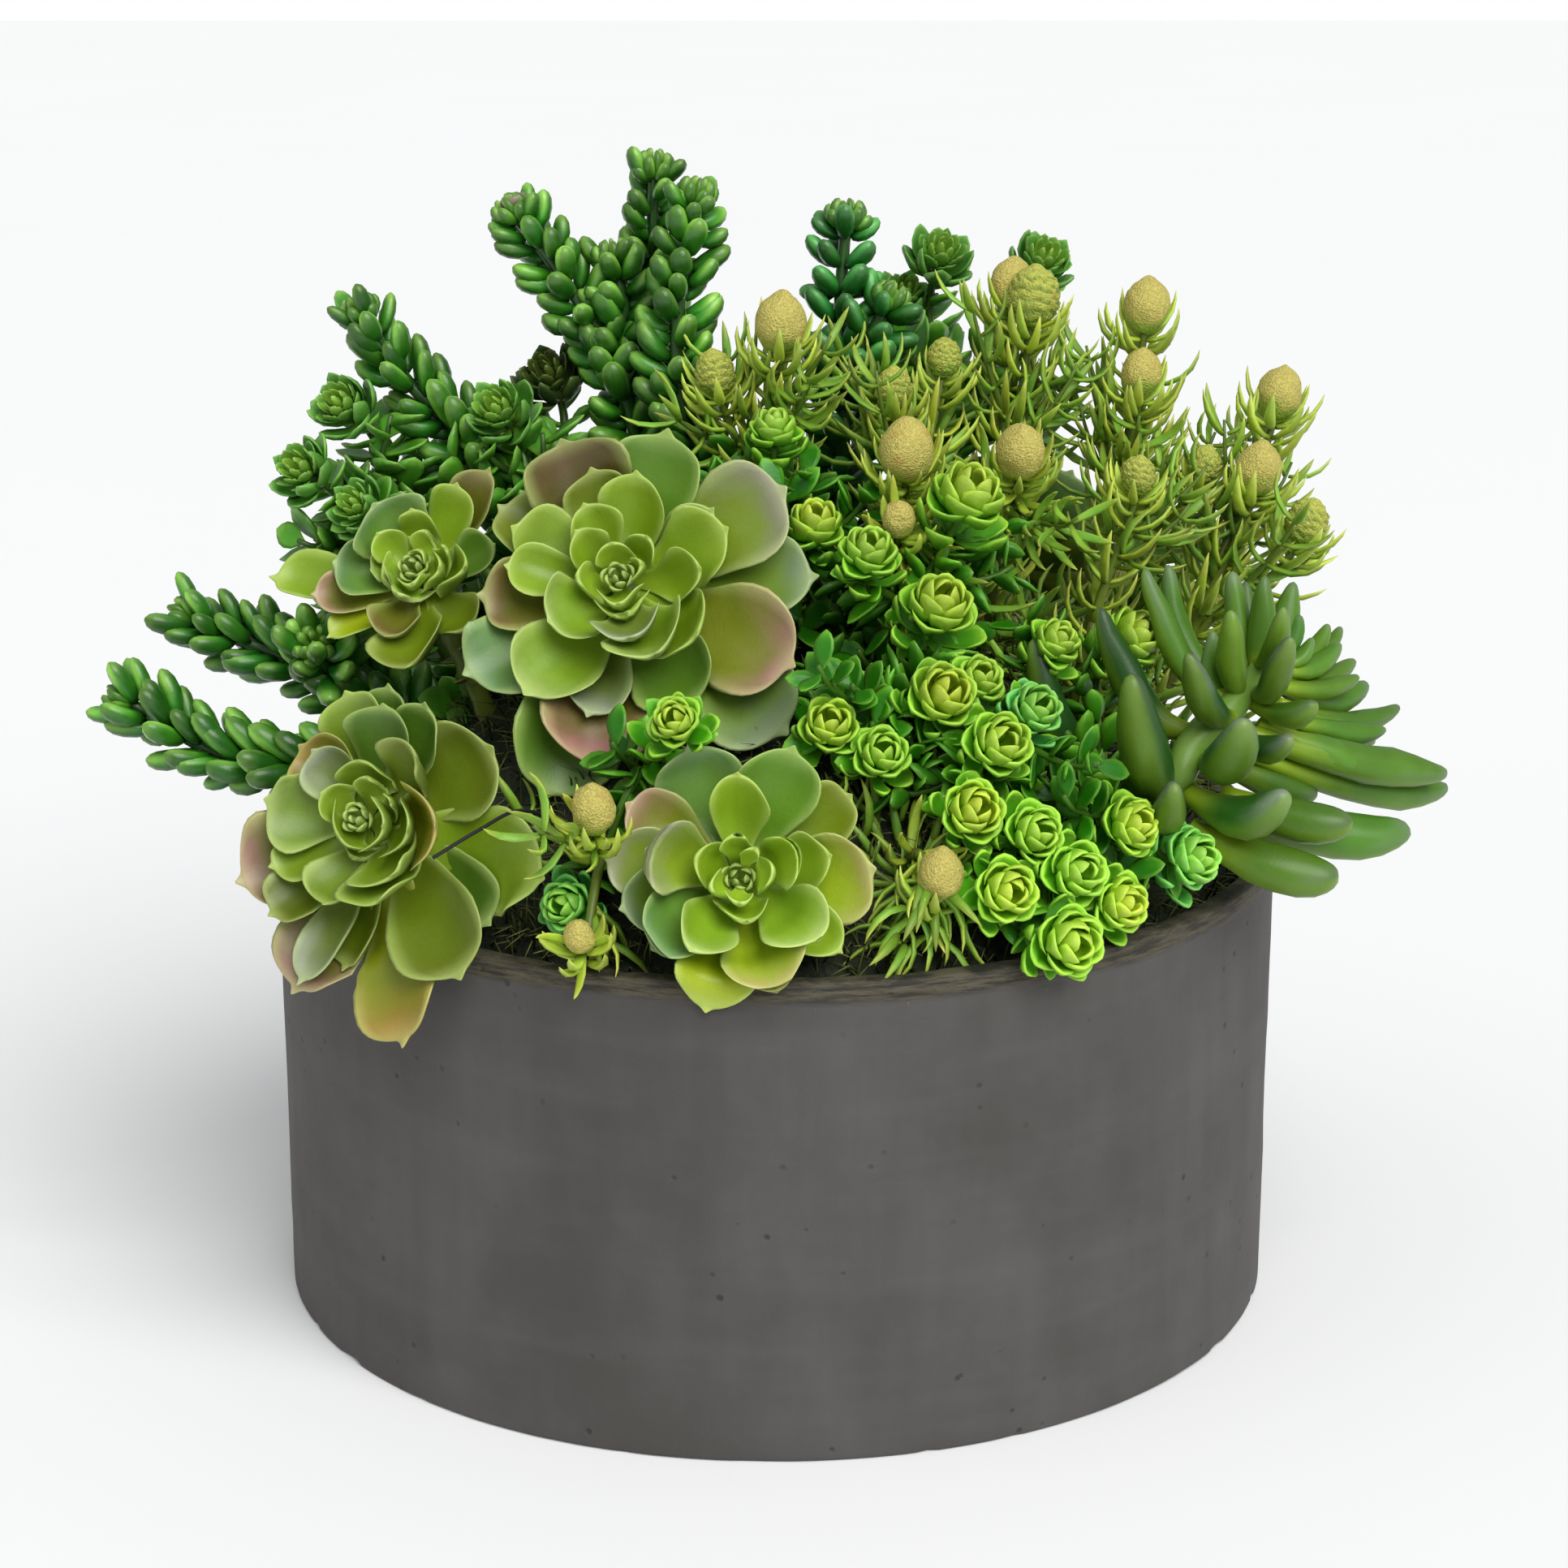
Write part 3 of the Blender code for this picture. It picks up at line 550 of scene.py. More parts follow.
@dataclass(frozen=True)
class CementFinish:
    """Dark grey fibre cement: cloudy and faintly streaked, with small pits and a brown rim."""

    name: str = "fibre_cement"

    def material(self) -> bpy.types.Material:
        """Builds it from cloud, streak, pit and fibre patterns on object coordinates.

        Returns:
            The material.
        """
        shader = Shader(self.name)
        place = shader.place()
        height = shader.node("ShaderNodeSeparateXYZ", {}, {0: place}, 2)
        cloud = shader.noise(place, 14, 4, 0.6)
        streak = shader.noise(shader.stretched(place, (1, 1, 0.12)), 55, 3, 0.6)
        band = shader.noise(shader.stretched(place, (0.12, 0.12, 1)), 60, 3, 0.6)
        grit = shader.noise(place, 900, 3, 0.7)
        pits = (1 - shader.cells(place, 120).ramp(0.05, 0.16)) * shader.noise(place, 45, 1).ramp(0.5, 0.62)
        colour = shader.mix(cloud.ramp(0.3, 0.7), paint(64, 61, 58), paint(79, 77, 75))
        colour = shader.mix(streak.ramp(0.35, 0.7) * 0.4, colour, paint(60, 57, 54))
        colour = shader.mix(band.ramp(0.45, 0.75) * 0.25, colour, paint(88, 87, 85))
        colour = shader.mix(pits * 0.75, colour, paint(36, 33, 30))
        fibres = shader.noise(shader.stretched(place, (0.25, 0.25, 2.2)), 260, 4, 0.7)
        rim = (height + (cloud - 0.5) * 0.006).ramp(0.1405, 0.1435)
        brown = shader.mix(fibres.ramp(0.35, 0.62), paint(34, 31, 23), paint(80, 74, 56))
        colour = shader.mix(rim, colour, brown)
        colour = shader.brightened(colour, 0.9 + grit * 0.2)
        normal = shader.bump(grit * 0.3 + cloud * 2 - pits * 1.5, 0.0009, 0.5)
        normal = shader.bump(fibres * rim, 0.0012, 0.8, normal)
        return shader.surface({"Base Color": colour, "Roughness": 0.62 + grit * 0.2, "Normal": normal})


@dataclass(frozen=True)
class FibreFinish:
    """Dull fibrous stuff in two colours, for the moss and the foam."""

    name: str
    dark: Colour
    light: Colour
    scale: float
    roughness: float = 0.9
    bump: float = 0.001

    def material(self) -> bpy.types.Material:
        """Builds it from two sizes of noise.

        Returns:
            The material.
        """
        shader = Shader(self.name)
        place = shader.place()
        clump = shader.noise(place, self.scale, 4, 0.65)
        strand = shader.noise(place, self.scale * 9, 3, 0.7)
        colour = shader.mix((clump * 0.5 + strand * 0.5).ramp(0.35, 0.66), self.dark, self.light)
        return shader.surface({
            "Base Color": colour,
            "Roughness": self.roughness - strand * 0.15,
            "Normal": shader.bump(strand + clump, self.bump, 0.9),
        })


@dataclass(frozen=True)
class SatinFinish:
    """A plain dark satin coat with fine scratches, for the wire."""

    name: str
    colour: Colour
    roughness: float = 0.6

    def material(self) -> bpy.types.Material:
        """Builds it from fine noise.

        Returns:
            The material.
        """
        shader = Shader(self.name)
        grain = shader.noise(shader.place(), 700, 3)
        colour = shader.brightened(shader.mix(grain, self.colour, paint(20, 22, 20)), 0.8 + grain * 0.4)
        return shader.surface({
            "Base Color": colour,
            "Roughness": self.roughness + grain * 0.2,
            "Normal": shader.bump(grain, 0.0002, 0.5),
        })


@dataclass(frozen=True)
class Cut:
    """How a leaf is cut: its place along, half width and half thickness at each station."""

    stations: tuple[Triple, ...] | Array
    sides: int


SPOON = Cut(
    curve_through(
        (
            (0, 0.20, 0.9), (0.18, 0.40, 1), (0.42, 0.76, 0.95), (0.60, 0.96, 0.92),
            (0.72, 1.0, 0.88), (0.83, 0.90, 0.8), (0.90, 0.68, 0.72), (0.937, 0.40, 0.64),
            (0.955, 0.17, 0.5), (1.0, 0.02, 0.12),
        ),
        26,
    ),
    16,
)
PETAL = Cut((
    (0, 0.34, 1), (0.2, 0.60, 1), (0.44, 0.88, 1), (0.68, 1.0, 0.95), (0.87, 0.90, 0.85),
    (0.97, 0.56, 0.7), (1.0, 0.14, 0.35),
), 8)
OVAL = Cut((
    (0, 0.16, 1), (0.12, 0.38, 1), (0.3, 0.82, 1), (0.52, 1.0, 1), (0.74, 0.88, 0.9),
    (0.91, 0.5, 0.65), (1.0, 0.06, 0.2),
), 6)
TOOTHED = Cut((
    (0, 0.2, 1), (0.2, 0.55, 1), (0.38, 0.86, 1), (0.5, 0.78, 1), (0.6, 1.0, 0.9), (0.7, 0.80, 0.85),
    (0.78, 0.92, 0.75), (0.87, 0.56, 0.6), (0.92, 0.62, 0.5), (1.0, 0.05, 0.2),
), 8)
PLUMP = Cut((
    (0, 0.42, 0.42), (0.14, 0.72, 0.72), (0.36, 0.94, 0.94), (0.6, 1.0, 1.0), (0.8, 0.9, 0.88),
    (0.93, 0.62, 0.6), (1.0, 0.16, 0.16),
), 8)
NEEDLE = Cut(
    ((0, 0.55, 0.9), (0.15, 0.8, 1), (0.4, 1.0, 1), (0.66, 0.84, 0.9), (0.87, 0.5, 0.6), (1.0, 0.06, 0.1)),
    6,
)
FINGER = Cut((
    (0, 0.46, 0.46), (0.08, 0.54, 0.54), (0.22, 0.72, 0.72), (0.38, 0.90, 0.90), (0.54, 1.0, 1.0),
    (0.68, 0.97, 0.97), (0.80, 0.84, 0.84), (0.89, 0.66, 0.66), (0.95, 0.48, 0.48), (0.985, 0.30, 0.30),
    (1.0, 0.08, 0.08),
), 18)
STRAND = Cut(((0, 1.0, 1.0), (0.5, 0.8, 0.8), (1.0, 0.1, 0.1)), 3)


@dataclass
class Blades:
    """A batch of leaves; the first axis of every array runs over them."""

    base: Array
    bend: Array
    tip: Array
    face: Array
    width: Array
    thick: Array
    cup: Array
    body: Array
    flush: Array
    twist: Array
    curl: float = 0.0

    def only(self, mask: Array) -> "Blades":
        """The leaves that the mask picks."""
        arrays = {name: value[mask] for name, value in vars(self).items() if isinstance(value, np.ndarray)}
        return replace(self, **arrays)

    def spots(self, shares: Sequence[float]) -> Array:
        """Points of the mid lines, the parabolas base (1-s)^2 + bend 2s(1-s) + tip s^2.

        Args:
            shares: Some shares s of the length.

        Returns:
            The points, by leaf and share.
        """
        s = np.array(shares)[None, :, None]
        base, bend, tip = (part[:, None] for part in (self.base, self.bend, self.tip))
        return base * (1 - s) ** 2 + 2 * bend * s * (1 - s) + tip * s**2


def coloured(
    rng: np.random.Generator, count: int, body: Colour, tip: Colour, strength: float, spread: float
) -> tuple[Array, Array]:
    """Body and tip colours of a batch, each leaf a little lighter or darker than the next.

    Args:
        rng: Random source.
        count: How many leaves.
        body: Body colour.
        tip: Tip colour.
        strength: How strong the tip colour is.
        spread: How far the shades spread.

    Returns:
        The body and the tip colours, one row a leaf.
    """
    shade = rng.normal(1.0, spread, (count, 1)).clip(0.6, 1.5)
    warm = 1 + rng.normal(0, spread * 0.5, (count, 1)) * np.array((1.0, 0.0, -1.0))
    bodies = np.hstack((np.array(body[:3]) * shade * warm, np.ones((count, 1))))
    tips = np.hstack((np.array(tip[:3]) * shade, strength * rng.uniform(0.7, 1.1, (count, 1))))
    return bodies.clip(0, 1), tips.clip(0, 1)


def leaf_skins(blades: Blades, cut: Cut) -> tuple[Array, Array]:
    """Closed skins of a batch of leaves.

    Round the mid line runs the section side w cos a + normal (h sin a + cup w^2/W cos^2 a),
    where w and h are the cut's half width and half thickness at s and W is the largest w, so
    that cup hollows the leaf like a bowl. The last third also curls up by curl W.

    Args:
        blades: The leaves.
        cut: How they are cut.

    Returns:
        Points by leaf, station and side, and their marks: along, across, rim and underside.
    """
    stations = np.array(cut.stations, float)
    s = stations[:, 0][None, :, None]
    angle = np.arange(cut.sides) * math.tau / cut.sides
    base, bend, tip = (part[:, None, :] for part in (blades.base, blades.bend, blades.tip))
    line = blades.spots(stations[:, 0])
    along = unit((bend - base) * (1 - s) + (tip - bend) * s)
    side = unit(np.cross(tip - base, blades.face[:, None, :]))
    normal = unit(np.cross(side, along))
    turn = blades.twist[:, None, None] * s
    side, normal = side * np.cos(turn) + normal * np.sin(turn), normal * np.cos(turn) - side * np.sin(turn)
    half = (blades.width[:, None] / 2 * stations[:, 1])[..., None]
    deep = (blades.thick[:, None] / 2 * stations[:, 2])[..., None]
    across = half * np.cos(angle)
    widest = blades.width[:, None, None] / 2
    hollow = blades.cup[:, None, None] * half**2 / widest * np.cos(angle) ** 2
    height = deep * np.sin(angle) + hollow + blades.curl * widest * ((s - 0.62).clip(0, 1) / 0.38) ** 2
    sideways = side[:, :, None] * across[..., None]
    points = line[:, :, None] + sideways + normal[:, :, None] * height[..., None]
    marks = np.empty((*points.shape[:3], 4))
    marks[..., 0] = s
    marks[..., 1] = np.cos(angle) / 2 + 0.5
    marks[..., 2] = np.maximum(np.cos(angle) ** 4, (s.clip(0.8, 1.0) - 0.8) / 0.2)
    marks[..., 3] = 0.5 - 0.5 * np.sin(angle)
    return points, marks


def finer(grid: Array) -> Array:
    """A finer grid, with the mean of each two neighbours put between them.

    Args:
        grid: Values on a grid, which is its first two axes.

    Returns:
        The finer grid.
    """
    for _ in range(2):
        wide = np.empty((2 * len(grid) - 1, *grid.shape[1:]))
        wide[::2], wide[1::2] = grid, (grid[:-1] + grid[1:]) / 2
        grid = wide.swapaxes(0, 1)
    return grid


def nested(points: Array, along: Array, axis: Array, order: Sequence[int], gap: float = 0.6) -> Array:
    """Leaves of a rosette pressed down so that none shows through the leaves above it.

    The leaves are taken from the top down. Where a leaf would stand higher along the axis
    than a leaf above it and near it, both its faces move back along the axis until it
    stands a gap lower. Close to its base, which the heart hides, nothing moves.

    Args:
        points: The leaves' skins, by leaf, station and side.
        along: Place along the leaf of each station, 0 to 1.
        axis: The way that the rosette faces.
        order: The leaves from the top down.
        gap: How much lower a leaf stands, in millimetres.

    Returns:
        The skins, moved.
    """
    plane = crosswise(axis)
    sides = points.shape[2]
    half = np.arange(sides // 2 + 1)
    fold = np.minimum(np.arange(sides), sides - np.arange(sides))
    fade = ((along - 0.2) / 0.2).clip(0, 1)[:, None]
    result = points.copy()
    flats, tops = [], []
    for leaf in order:
        sheet = result[leaf]
        upper, lower = sheet[:, half], sheet[:, -half % sides]
        flat = (upper + lower) / 2 @ plane
        top = np.maximum(upper @ axis, lower @ axis)
        if tops:
            apart = ((flat[:, :, None] - np.concatenate(flats)) ** 2).sum(axis=-1)
            limit = np.where(apart < NEAR**2, np.concatenate(tops), np.inf).min(axis=-1)
            drop = (top - limit + gap).clip(0) * fade
            for _ in range(2):
                wide = np.pad(drop, 1, mode="edge")
                mean = (wide[:-2, 1:-1] + wide[2:, 1:-1] + wide[1:-1, :-2] + wide[1:-1, 2:]) / 4
                drop = np.maximum(drop, mean)
            result[leaf] = sheet - axis * drop[:, fold][..., None]
            top = top - drop
        flats.append(finer(flat[along >= 0.25]).reshape(-1, 2))
        tops.append(finer(top[along >= 0.25]).ravel())
    return result


def eased(need: Array) -> Array:
    """Moves of a leaf's stations, of which each takes its neighbours with it.

    Args:
        need: How far each station has to move at least.

    Returns:
        How far each one moves.
    """
    for _ in range(3):
        wide = np.pad(need, 1, mode="edge")
        need = np.maximum(need, 0.8 * np.maximum(wide[:-2], wide[2:]))
    wide = np.pad(need, 1, mode="edge")
    return np.maximum(need, (wide[:-2] + wide[2:]) / 2)


def draped(points: Array, axis: Array, order: Sequence[int], gap: float = 2.2) -> Array:
    """Leaves of a rosette lifted over the bowl's rim where they would run into its wall.

    A point between the inner wall and the outer one and below the rim needs to move along
    the axis until it is a gap above the rim or a gap outside the wall, whichever is nearer.
    Each station moves as its worst point needs, and a leaf that lies over a moved one moves
    as far.

    Args:
        points: The leaves' skins, by leaf, station and side.
        axis: The way that the rosette faces.
        order: The leaves from the top down.
        gap: How far the leaves stay off the bowl, in millimetres.

    Returns:
        The skins, moved.
    """
    level = math.hypot(axis[0], axis[1])
    radius = np.hypot(points[..., 0], points[..., 1])
    above = (BOWL_HEIGHT + gap - points[..., 2]) / axis[2]
    outside = (BOWL_RADIUS + gap - radius) / level
    inside = radius < BOWL_RADIUS - BOWL_WALL - gap
    need = np.where(inside, 0, np.minimum(above, outside)).clip(0).max(axis=2)
    flat = points @ crosswise(axis)
    moved = np.empty((0, 3))
    for leaf in order[::-1]:
        apart = ((flat[leaf][:, :, None] - moved[:, :2]) ** 2).sum(axis=-1)
        below = np.where(apart < NEAR**2, moved[:, 2], 0).max(axis=(1, 2), initial=0)
        need[leaf] = eased(np.maximum(need[leaf], below))
        rows = np.column_stack((flat[leaf].reshape(-1, 2), np.repeat(need[leaf], points.shape[2])))
        moved = np.vstack((moved, rows[rows[:, 2] > 0.1]))
    return points + axis * need[..., None, None]


def tube_skin(path: Array, radii: Array, sides: int) -> tuple[Array, Array]:
    """A round skin along a path: centre + radius (first cos a - second sin a) at each point.

    Args:
        path: Its centre line.
        radii: Its radius at each point.
        sides: Points round it.

    Returns:
        Points and marks, as for one leaf.
    """
    _, first, second = (part[:, None] for part in sides_of(path))
    angle = (np.arange(sides) * math.tau / sides)[None, :, None]
    points = path[:, None] + radii[:, None, None] * (first * np.cos(angle) - second * np.sin(angle))
    marks = np.zeros((1, len(path), sides, 4))
    marks[..., 0] = np.linspace(0, 1, len(path))[None, :, None]
    return points[None], marks


@dataclass(frozen=True)
class Stem:
    """A stem's radius where it starts and where it ends, its colour and its number of sides."""

    start: float
    end: float
    colour: Colour
    sides: int = 8


# Nodes that the shift of the plants leaves where they are
STILL_NODES = ("bowl", "moss_bed")


class Skin:
    """A piece while its skins are collected; each skin is a grid closed round and at both ends."""

    def __init__(self, name: str, finishes: Sequence[bpy.types.Material]) -> None:
        """Starts an empty piece.

        Args:
            name: The piece's name.
            finishes: Its materials, by slot.
        """
        self.name = name
        self.finishes = finishes
        self.points: list[Array] = []
        self.marks: list[Array] = []
        self.bodies: list[Array] = []
        self.tips: list[Array] = []
        self.quads: list[Array] = []
        self.ends: list[Array] = []
        self.quad_slots: list[Array] = []
        self.end_slots: list[Array] = []
        self.count = 0

    def add(self, points: Array, marks: Array, body: Array, flush: Array, slot: int = 0) -> None:
        """Adds a batch of grids.

        Args:
            points: Places by skin, row and side, in millimetres.
            marks: Their marks.
            body: Body colour of each skin.
            flush: Tip colour of each skin.
            slot: Which of the piece's materials it wears.
        """
        skins, rows, sides = points.shape[:3]
        first = self.count + np.arange(skins)[:, None, None] * rows * sides
        row = np.arange(rows - 1)[None, :, None] * sides
        here = np.arange(sides)[None, None, :]
        after = (here + 1) % sides
        low, high = first + row, first + row + sides
        quads = np.stack((low + here, high + here, high + after, low + after), axis=-1).reshape(-1, 4)
        starts = first[:, 0] + np.arange(sides)
        finals = first[:, 0] + (rows - 1) * sides + np.arange(sides)[::-1]
        self.quads.append(quads)
        self.ends.append(np.vstack((starts, finals)))
        self.quad_slots.append(np.full(len(quads), slot))
        self.end_slots.append(np.full(2 * skins, slot))
        self.points.append(points.reshape(-1, 3))
        self.marks.append(marks.reshape(-1, 4))
        self.bodies.append(np.repeat(np.broadcast_to(body, (skins, 4)), rows * sides, axis=0))
        self.tips.append(np.repeat(np.broadcast_to(flush, (skins, 4)), rows * sides, axis=0))
        self.count += skins * rows * sides

    def add_plain(self, points: Array) -> None:
        """Adds one grid whose finish needs no marks or colours."""
        self.add(points[None], np.zeros((1, *points.shape[:2], 4)), np.ones((1, 4)), np.ones((1, 4)))

    def leaves(self, blades: Blades, cut: Cut, slot: int = 0, uneven: float = 0.0) -> None:
        """Adds a batch of leaves of one cut.

        Args:
            blades: The leaves.
            cut: How they are cut.
            slot: Which of the piece's materials they wear.
            uneven: How far smooth random waves push their points, in millimetres.
        """
        points, marks = leaf_skins(blades, cut)
        if uneven:
            points = points + waves(points, uneven)
        self.add(points, marks, blades.body, blades.flush, slot)

    def tube(self, path: Array, radii: Array, colour: Colour, sides: int) -> None:
        """Adds a tube in one colour, with a radius at each point of its path."""
        points, marks = tube_skin(path, radii, sides)
        self.add(points, marks, np.array([colour]), np.array([(*colour[:3], 0.0)]))

    def stem(self, path: Array, stem: Stem) -> None:
        """Adds a stem that tapers evenly along a path."""
        self.tube(path, np.linspace(stem.start, stem.end, len(path)), stem.colour, stem.sides)

    def build(self, node: str, slot: str) -> None:
        """Makes the mesh object, which rides on the root and stands for a node of the part.

        Args:
            node: The node that it replaces.
            slot: The record's material slot; not used.
        """
        mesh = bpy.data.meshes.new(self.name)
        points = (np.vstack(self.points) + PLANTING_SHIFT * (node not in STILL_NODES)) * MM
        corners = [np.vstack(self.quads).ravel()] + [ends.ravel() for ends in self.ends]
        sizes = [np.full(sum(map(len, self.quads)), 4)]
        sizes += [np.full(len(ends), ends.shape[1]) for ends in self.ends]
        loops, lengths = np.concatenate(corners), np.concatenate(sizes)
        mesh.vertices.add(len(points))
        mesh.vertices.foreach_set("co", points.ravel())
        mesh.loops.add(len(loops))
        mesh.loops.foreach_set("vertex_index", loops)
        mesh.polygons.add(len(lengths))
        mesh.polygons.foreach_set("loop_start", np.concatenate(((0,), np.cumsum(lengths)[:-1])))
        mesh.polygons.foreach_set("material_index", np.concatenate(self.quad_slots + self.end_slots))
        mesh.polygons.foreach_set("use_smooth", np.ones(len(lengths), bool))
        for finish in self.finishes:
            mesh.materials.append(finish)
        for key, values in (("where", self.marks), ("body", self.bodies), ("flush", self.tips)):
            layer = mesh.attributes.new(key, "FLOAT_COLOR", "POINT")
            layer.data.foreach_set("color", np.vstack(values).ravel())
        mesh.update(calc_edges=True)
        mesh.validate()
        piece = bpy.data.objects.new(self.name, mesh)
        bpy.context.scene.collection.objects.link(piece)
        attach(piece, "root")
        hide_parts(node)
        triangles = sum(len(polygon.vertices) - 2 for polygon in mesh.polygons)
        LOG.info("%s: %d triangles", self.name, triangles)


class KeepOut:
    """Room that small leaves leave free: the big leaves and fingers, and the heads and buds.

    A head keeps a ball free and a rod before it. In front the rod leans to the camera.
    """

    # Gap to the big leaves; the rods' lean, and up to which Y they lean; a rod's length in radii
    # of its head; and the share of its leaves that a shoot has to keep
    GAP = 3.0
    LEANING = np.array((0.0, -1.8, 0.8))
    FRONT = 60
    ROD = 2.2
    MOSTLY = 0.72

    def __init__(self, surfaces: Sequence[Array], sprigs: "Sequence[Sprig]") -> None:
        """Notes the points of the surfaces, the balls round the heads and the rods before them.

        Args:
            surfaces: Points on big leaves.
            sprigs: All sprigs.
        """
        points = np.vstack([surface.reshape(-1, 3) for surface in surfaces])
        self.tree = KDTree(len(points))
        for index, point in enumerate(points):
            self.tree.insert(point, index)
        self.tree.balance()
        pairs = [(sprig.facing(head), head) for sprig in sprigs for head in sprig.heads]
        rods = [unit(way + self.LEANING) if head.place[1] < self.FRONT else way for way, head in pairs]
        self.ways = np.array(rods)
        self.centres = np.array([head.place for _, head in pairs], float)
        self.radii = np.array([head.radius for _, head in pairs])

    def room(self, spots: Array) -> Array:
        """How far points are from the room that the heads keep free.

        Args:
            spots: The points.

        Returns:
            The distance to each head's ball and rod, on a new last axis.
        """
        apart = spots[..., None, :] - self.centres
        before = (apart * self.ways).sum(axis=-1).clip(0, self.ROD * self.radii)
        return np.linalg.norm(apart - before[..., None] * self.ways, axis=-1) - self.radii * 1.05

    def clear(self, blades: Blades) -> Blades:
        """Drops the leaves that run into a big leaf, a finger, a head or a bud.

        Args:
            blades: All leaves of a batch.

        Returns:
            The leaves that stay.
        """
        spots = blades.spots((0.25, 0.5, 0.75, 1.0))
        free = self.room(spots[:, 1:]).min(axis=(1, 2)) > 0
        near = [min(self.tree.find(spot)[2] for spot in row) for row in spots]
        return blades.only(free & (np.array(near) > self.GAP))

    def passes(self, path: Array) -> bool:
        """Whether a shoot along this path stays clear of the big leaves, fingers and heads."""
        near = min(self.tree.find(point)[2] for point in path)
        return near > self.GAP + 1.0 and self.room(path[2:]).min() > 0.5

    def clothed(
        self, paths: Sequence[Array], leaves: "Foliage", rng: np.random.Generator
    ) -> Iterator[tuple[Array, Blades]]:
        """Picks the shoots that pass and keep most of their leaves.

        Args:
            paths: Centre lines of the shoots.
            leaves: How leaves sit along them.
            rng: Random source.

        Yields:
            The centre line and the leaves of each.
        """
        for path in filter(self.passes, paths):
            all_leaves = leaves.along(path, rng)
            kept = self.clear(all_leaves)
            if len(kept.base) > self.MOSTLY * len(all_leaves.base):
                yield path, kept


@dataclass(frozen=True)
class Workshop:
    """What every plant is built with: finishes, the rosettes' leaves and room to leave free."""

    finish: dict[str, bpy.types.Material]
    shapes: dict[str, tuple[Array, Array, Blades]]
    keep_out: KeepOut


@dataclass(frozen=True)
class Foliage:
    """Leaves set in a spiral along a stem: their sizes, their rise from it and their colours."""

    spacing: float
    length: float
    width: float
    thick: float
    rise_at_base: float
    rise_at_tip: float
    body: Colour
    tip: Colour
    strength: float = 0.6
    cup: float = 0.0
    lift: float = 0.0
    from_share: float = 0.0
    to_share: float = 1.0
    shrink: float = 0.4
    girth: float = 1.2
    spread: float = 0.14
    per_whorl: int = 1

    def along(self, path: Array, rng: np.random.Generator) -> Blades:
        """Sets the leaves along a path.

        Each leaf turns by the golden angle from the last, or each whorl by its share of that
        angle from the whorl below. It leaves the stem at one rise and ends at the other, and
        the last ones are smaller.

        Args:
            path: The stem's centre line.
            rng: Random source.

        Returns:
            The leaves.
        """
        run = run_along(path)
        length = run[-1] * (self.to_share - self.from_share)
        count = max(2, round(length / self.spacing)) * self.per_whorl
        step = np.arange(count) // self.per_whorl
        share = (step + 0.5) / (step[-1] + 1)
        at = run[-1] * (self.from_share + (self.to_share - self.from_share) * share)
        centre, forward, first, second = (sampled(rows, run, at) for rows in (path, *sides_of(path)))
        forward = unit(forward)
        angle = (step * GOLDEN_ANGLE + np.arange(count) % self.per_whorl * math.tau) / self.per_whorl
        angle = (angle + rng.normal(0, self.spread, count))[:, None]
        out = unit(first * np.cos(angle) + second * np.sin(angle))
        size = (1 - self.shrink * share**3) * rng.uniform(0.86, 1.12, count)
        low = np.radians(self.rise_at_base + rng.normal(0, 40 * self.spread, count))[:, None]
        high = np.radians(self.rise_at_tip + rng.normal(0, 40 * self.spread, count))[:, None]
        reach = (self.length * size)[:, None]
        base = centre + out * self.girth
        bend = base + (out * np.cos(low) + forward * np.sin(low)) * reach * 0.5
        tip = bend + (out * np.cos(high) + forward * np.sin(high)) * reach * 0.5 + UP * self.lift * reach
        middle = (low + high) / 2
        face = forward * np.cos(middle) - out * np.sin(middle)
        body, flush = coloured(rng, count, self.body, self.tip, self.strength, self.spread)
        return Blades(
            base, bend, tip, face, self.width * size, self.thick * size,
            np.full(count, self.cup), body, flush, rng.normal(0, 0.12, count),
        )


# Body and tip colour of a whorl's leaves
Petals = tuple[Colour | Array, Colour | Array]


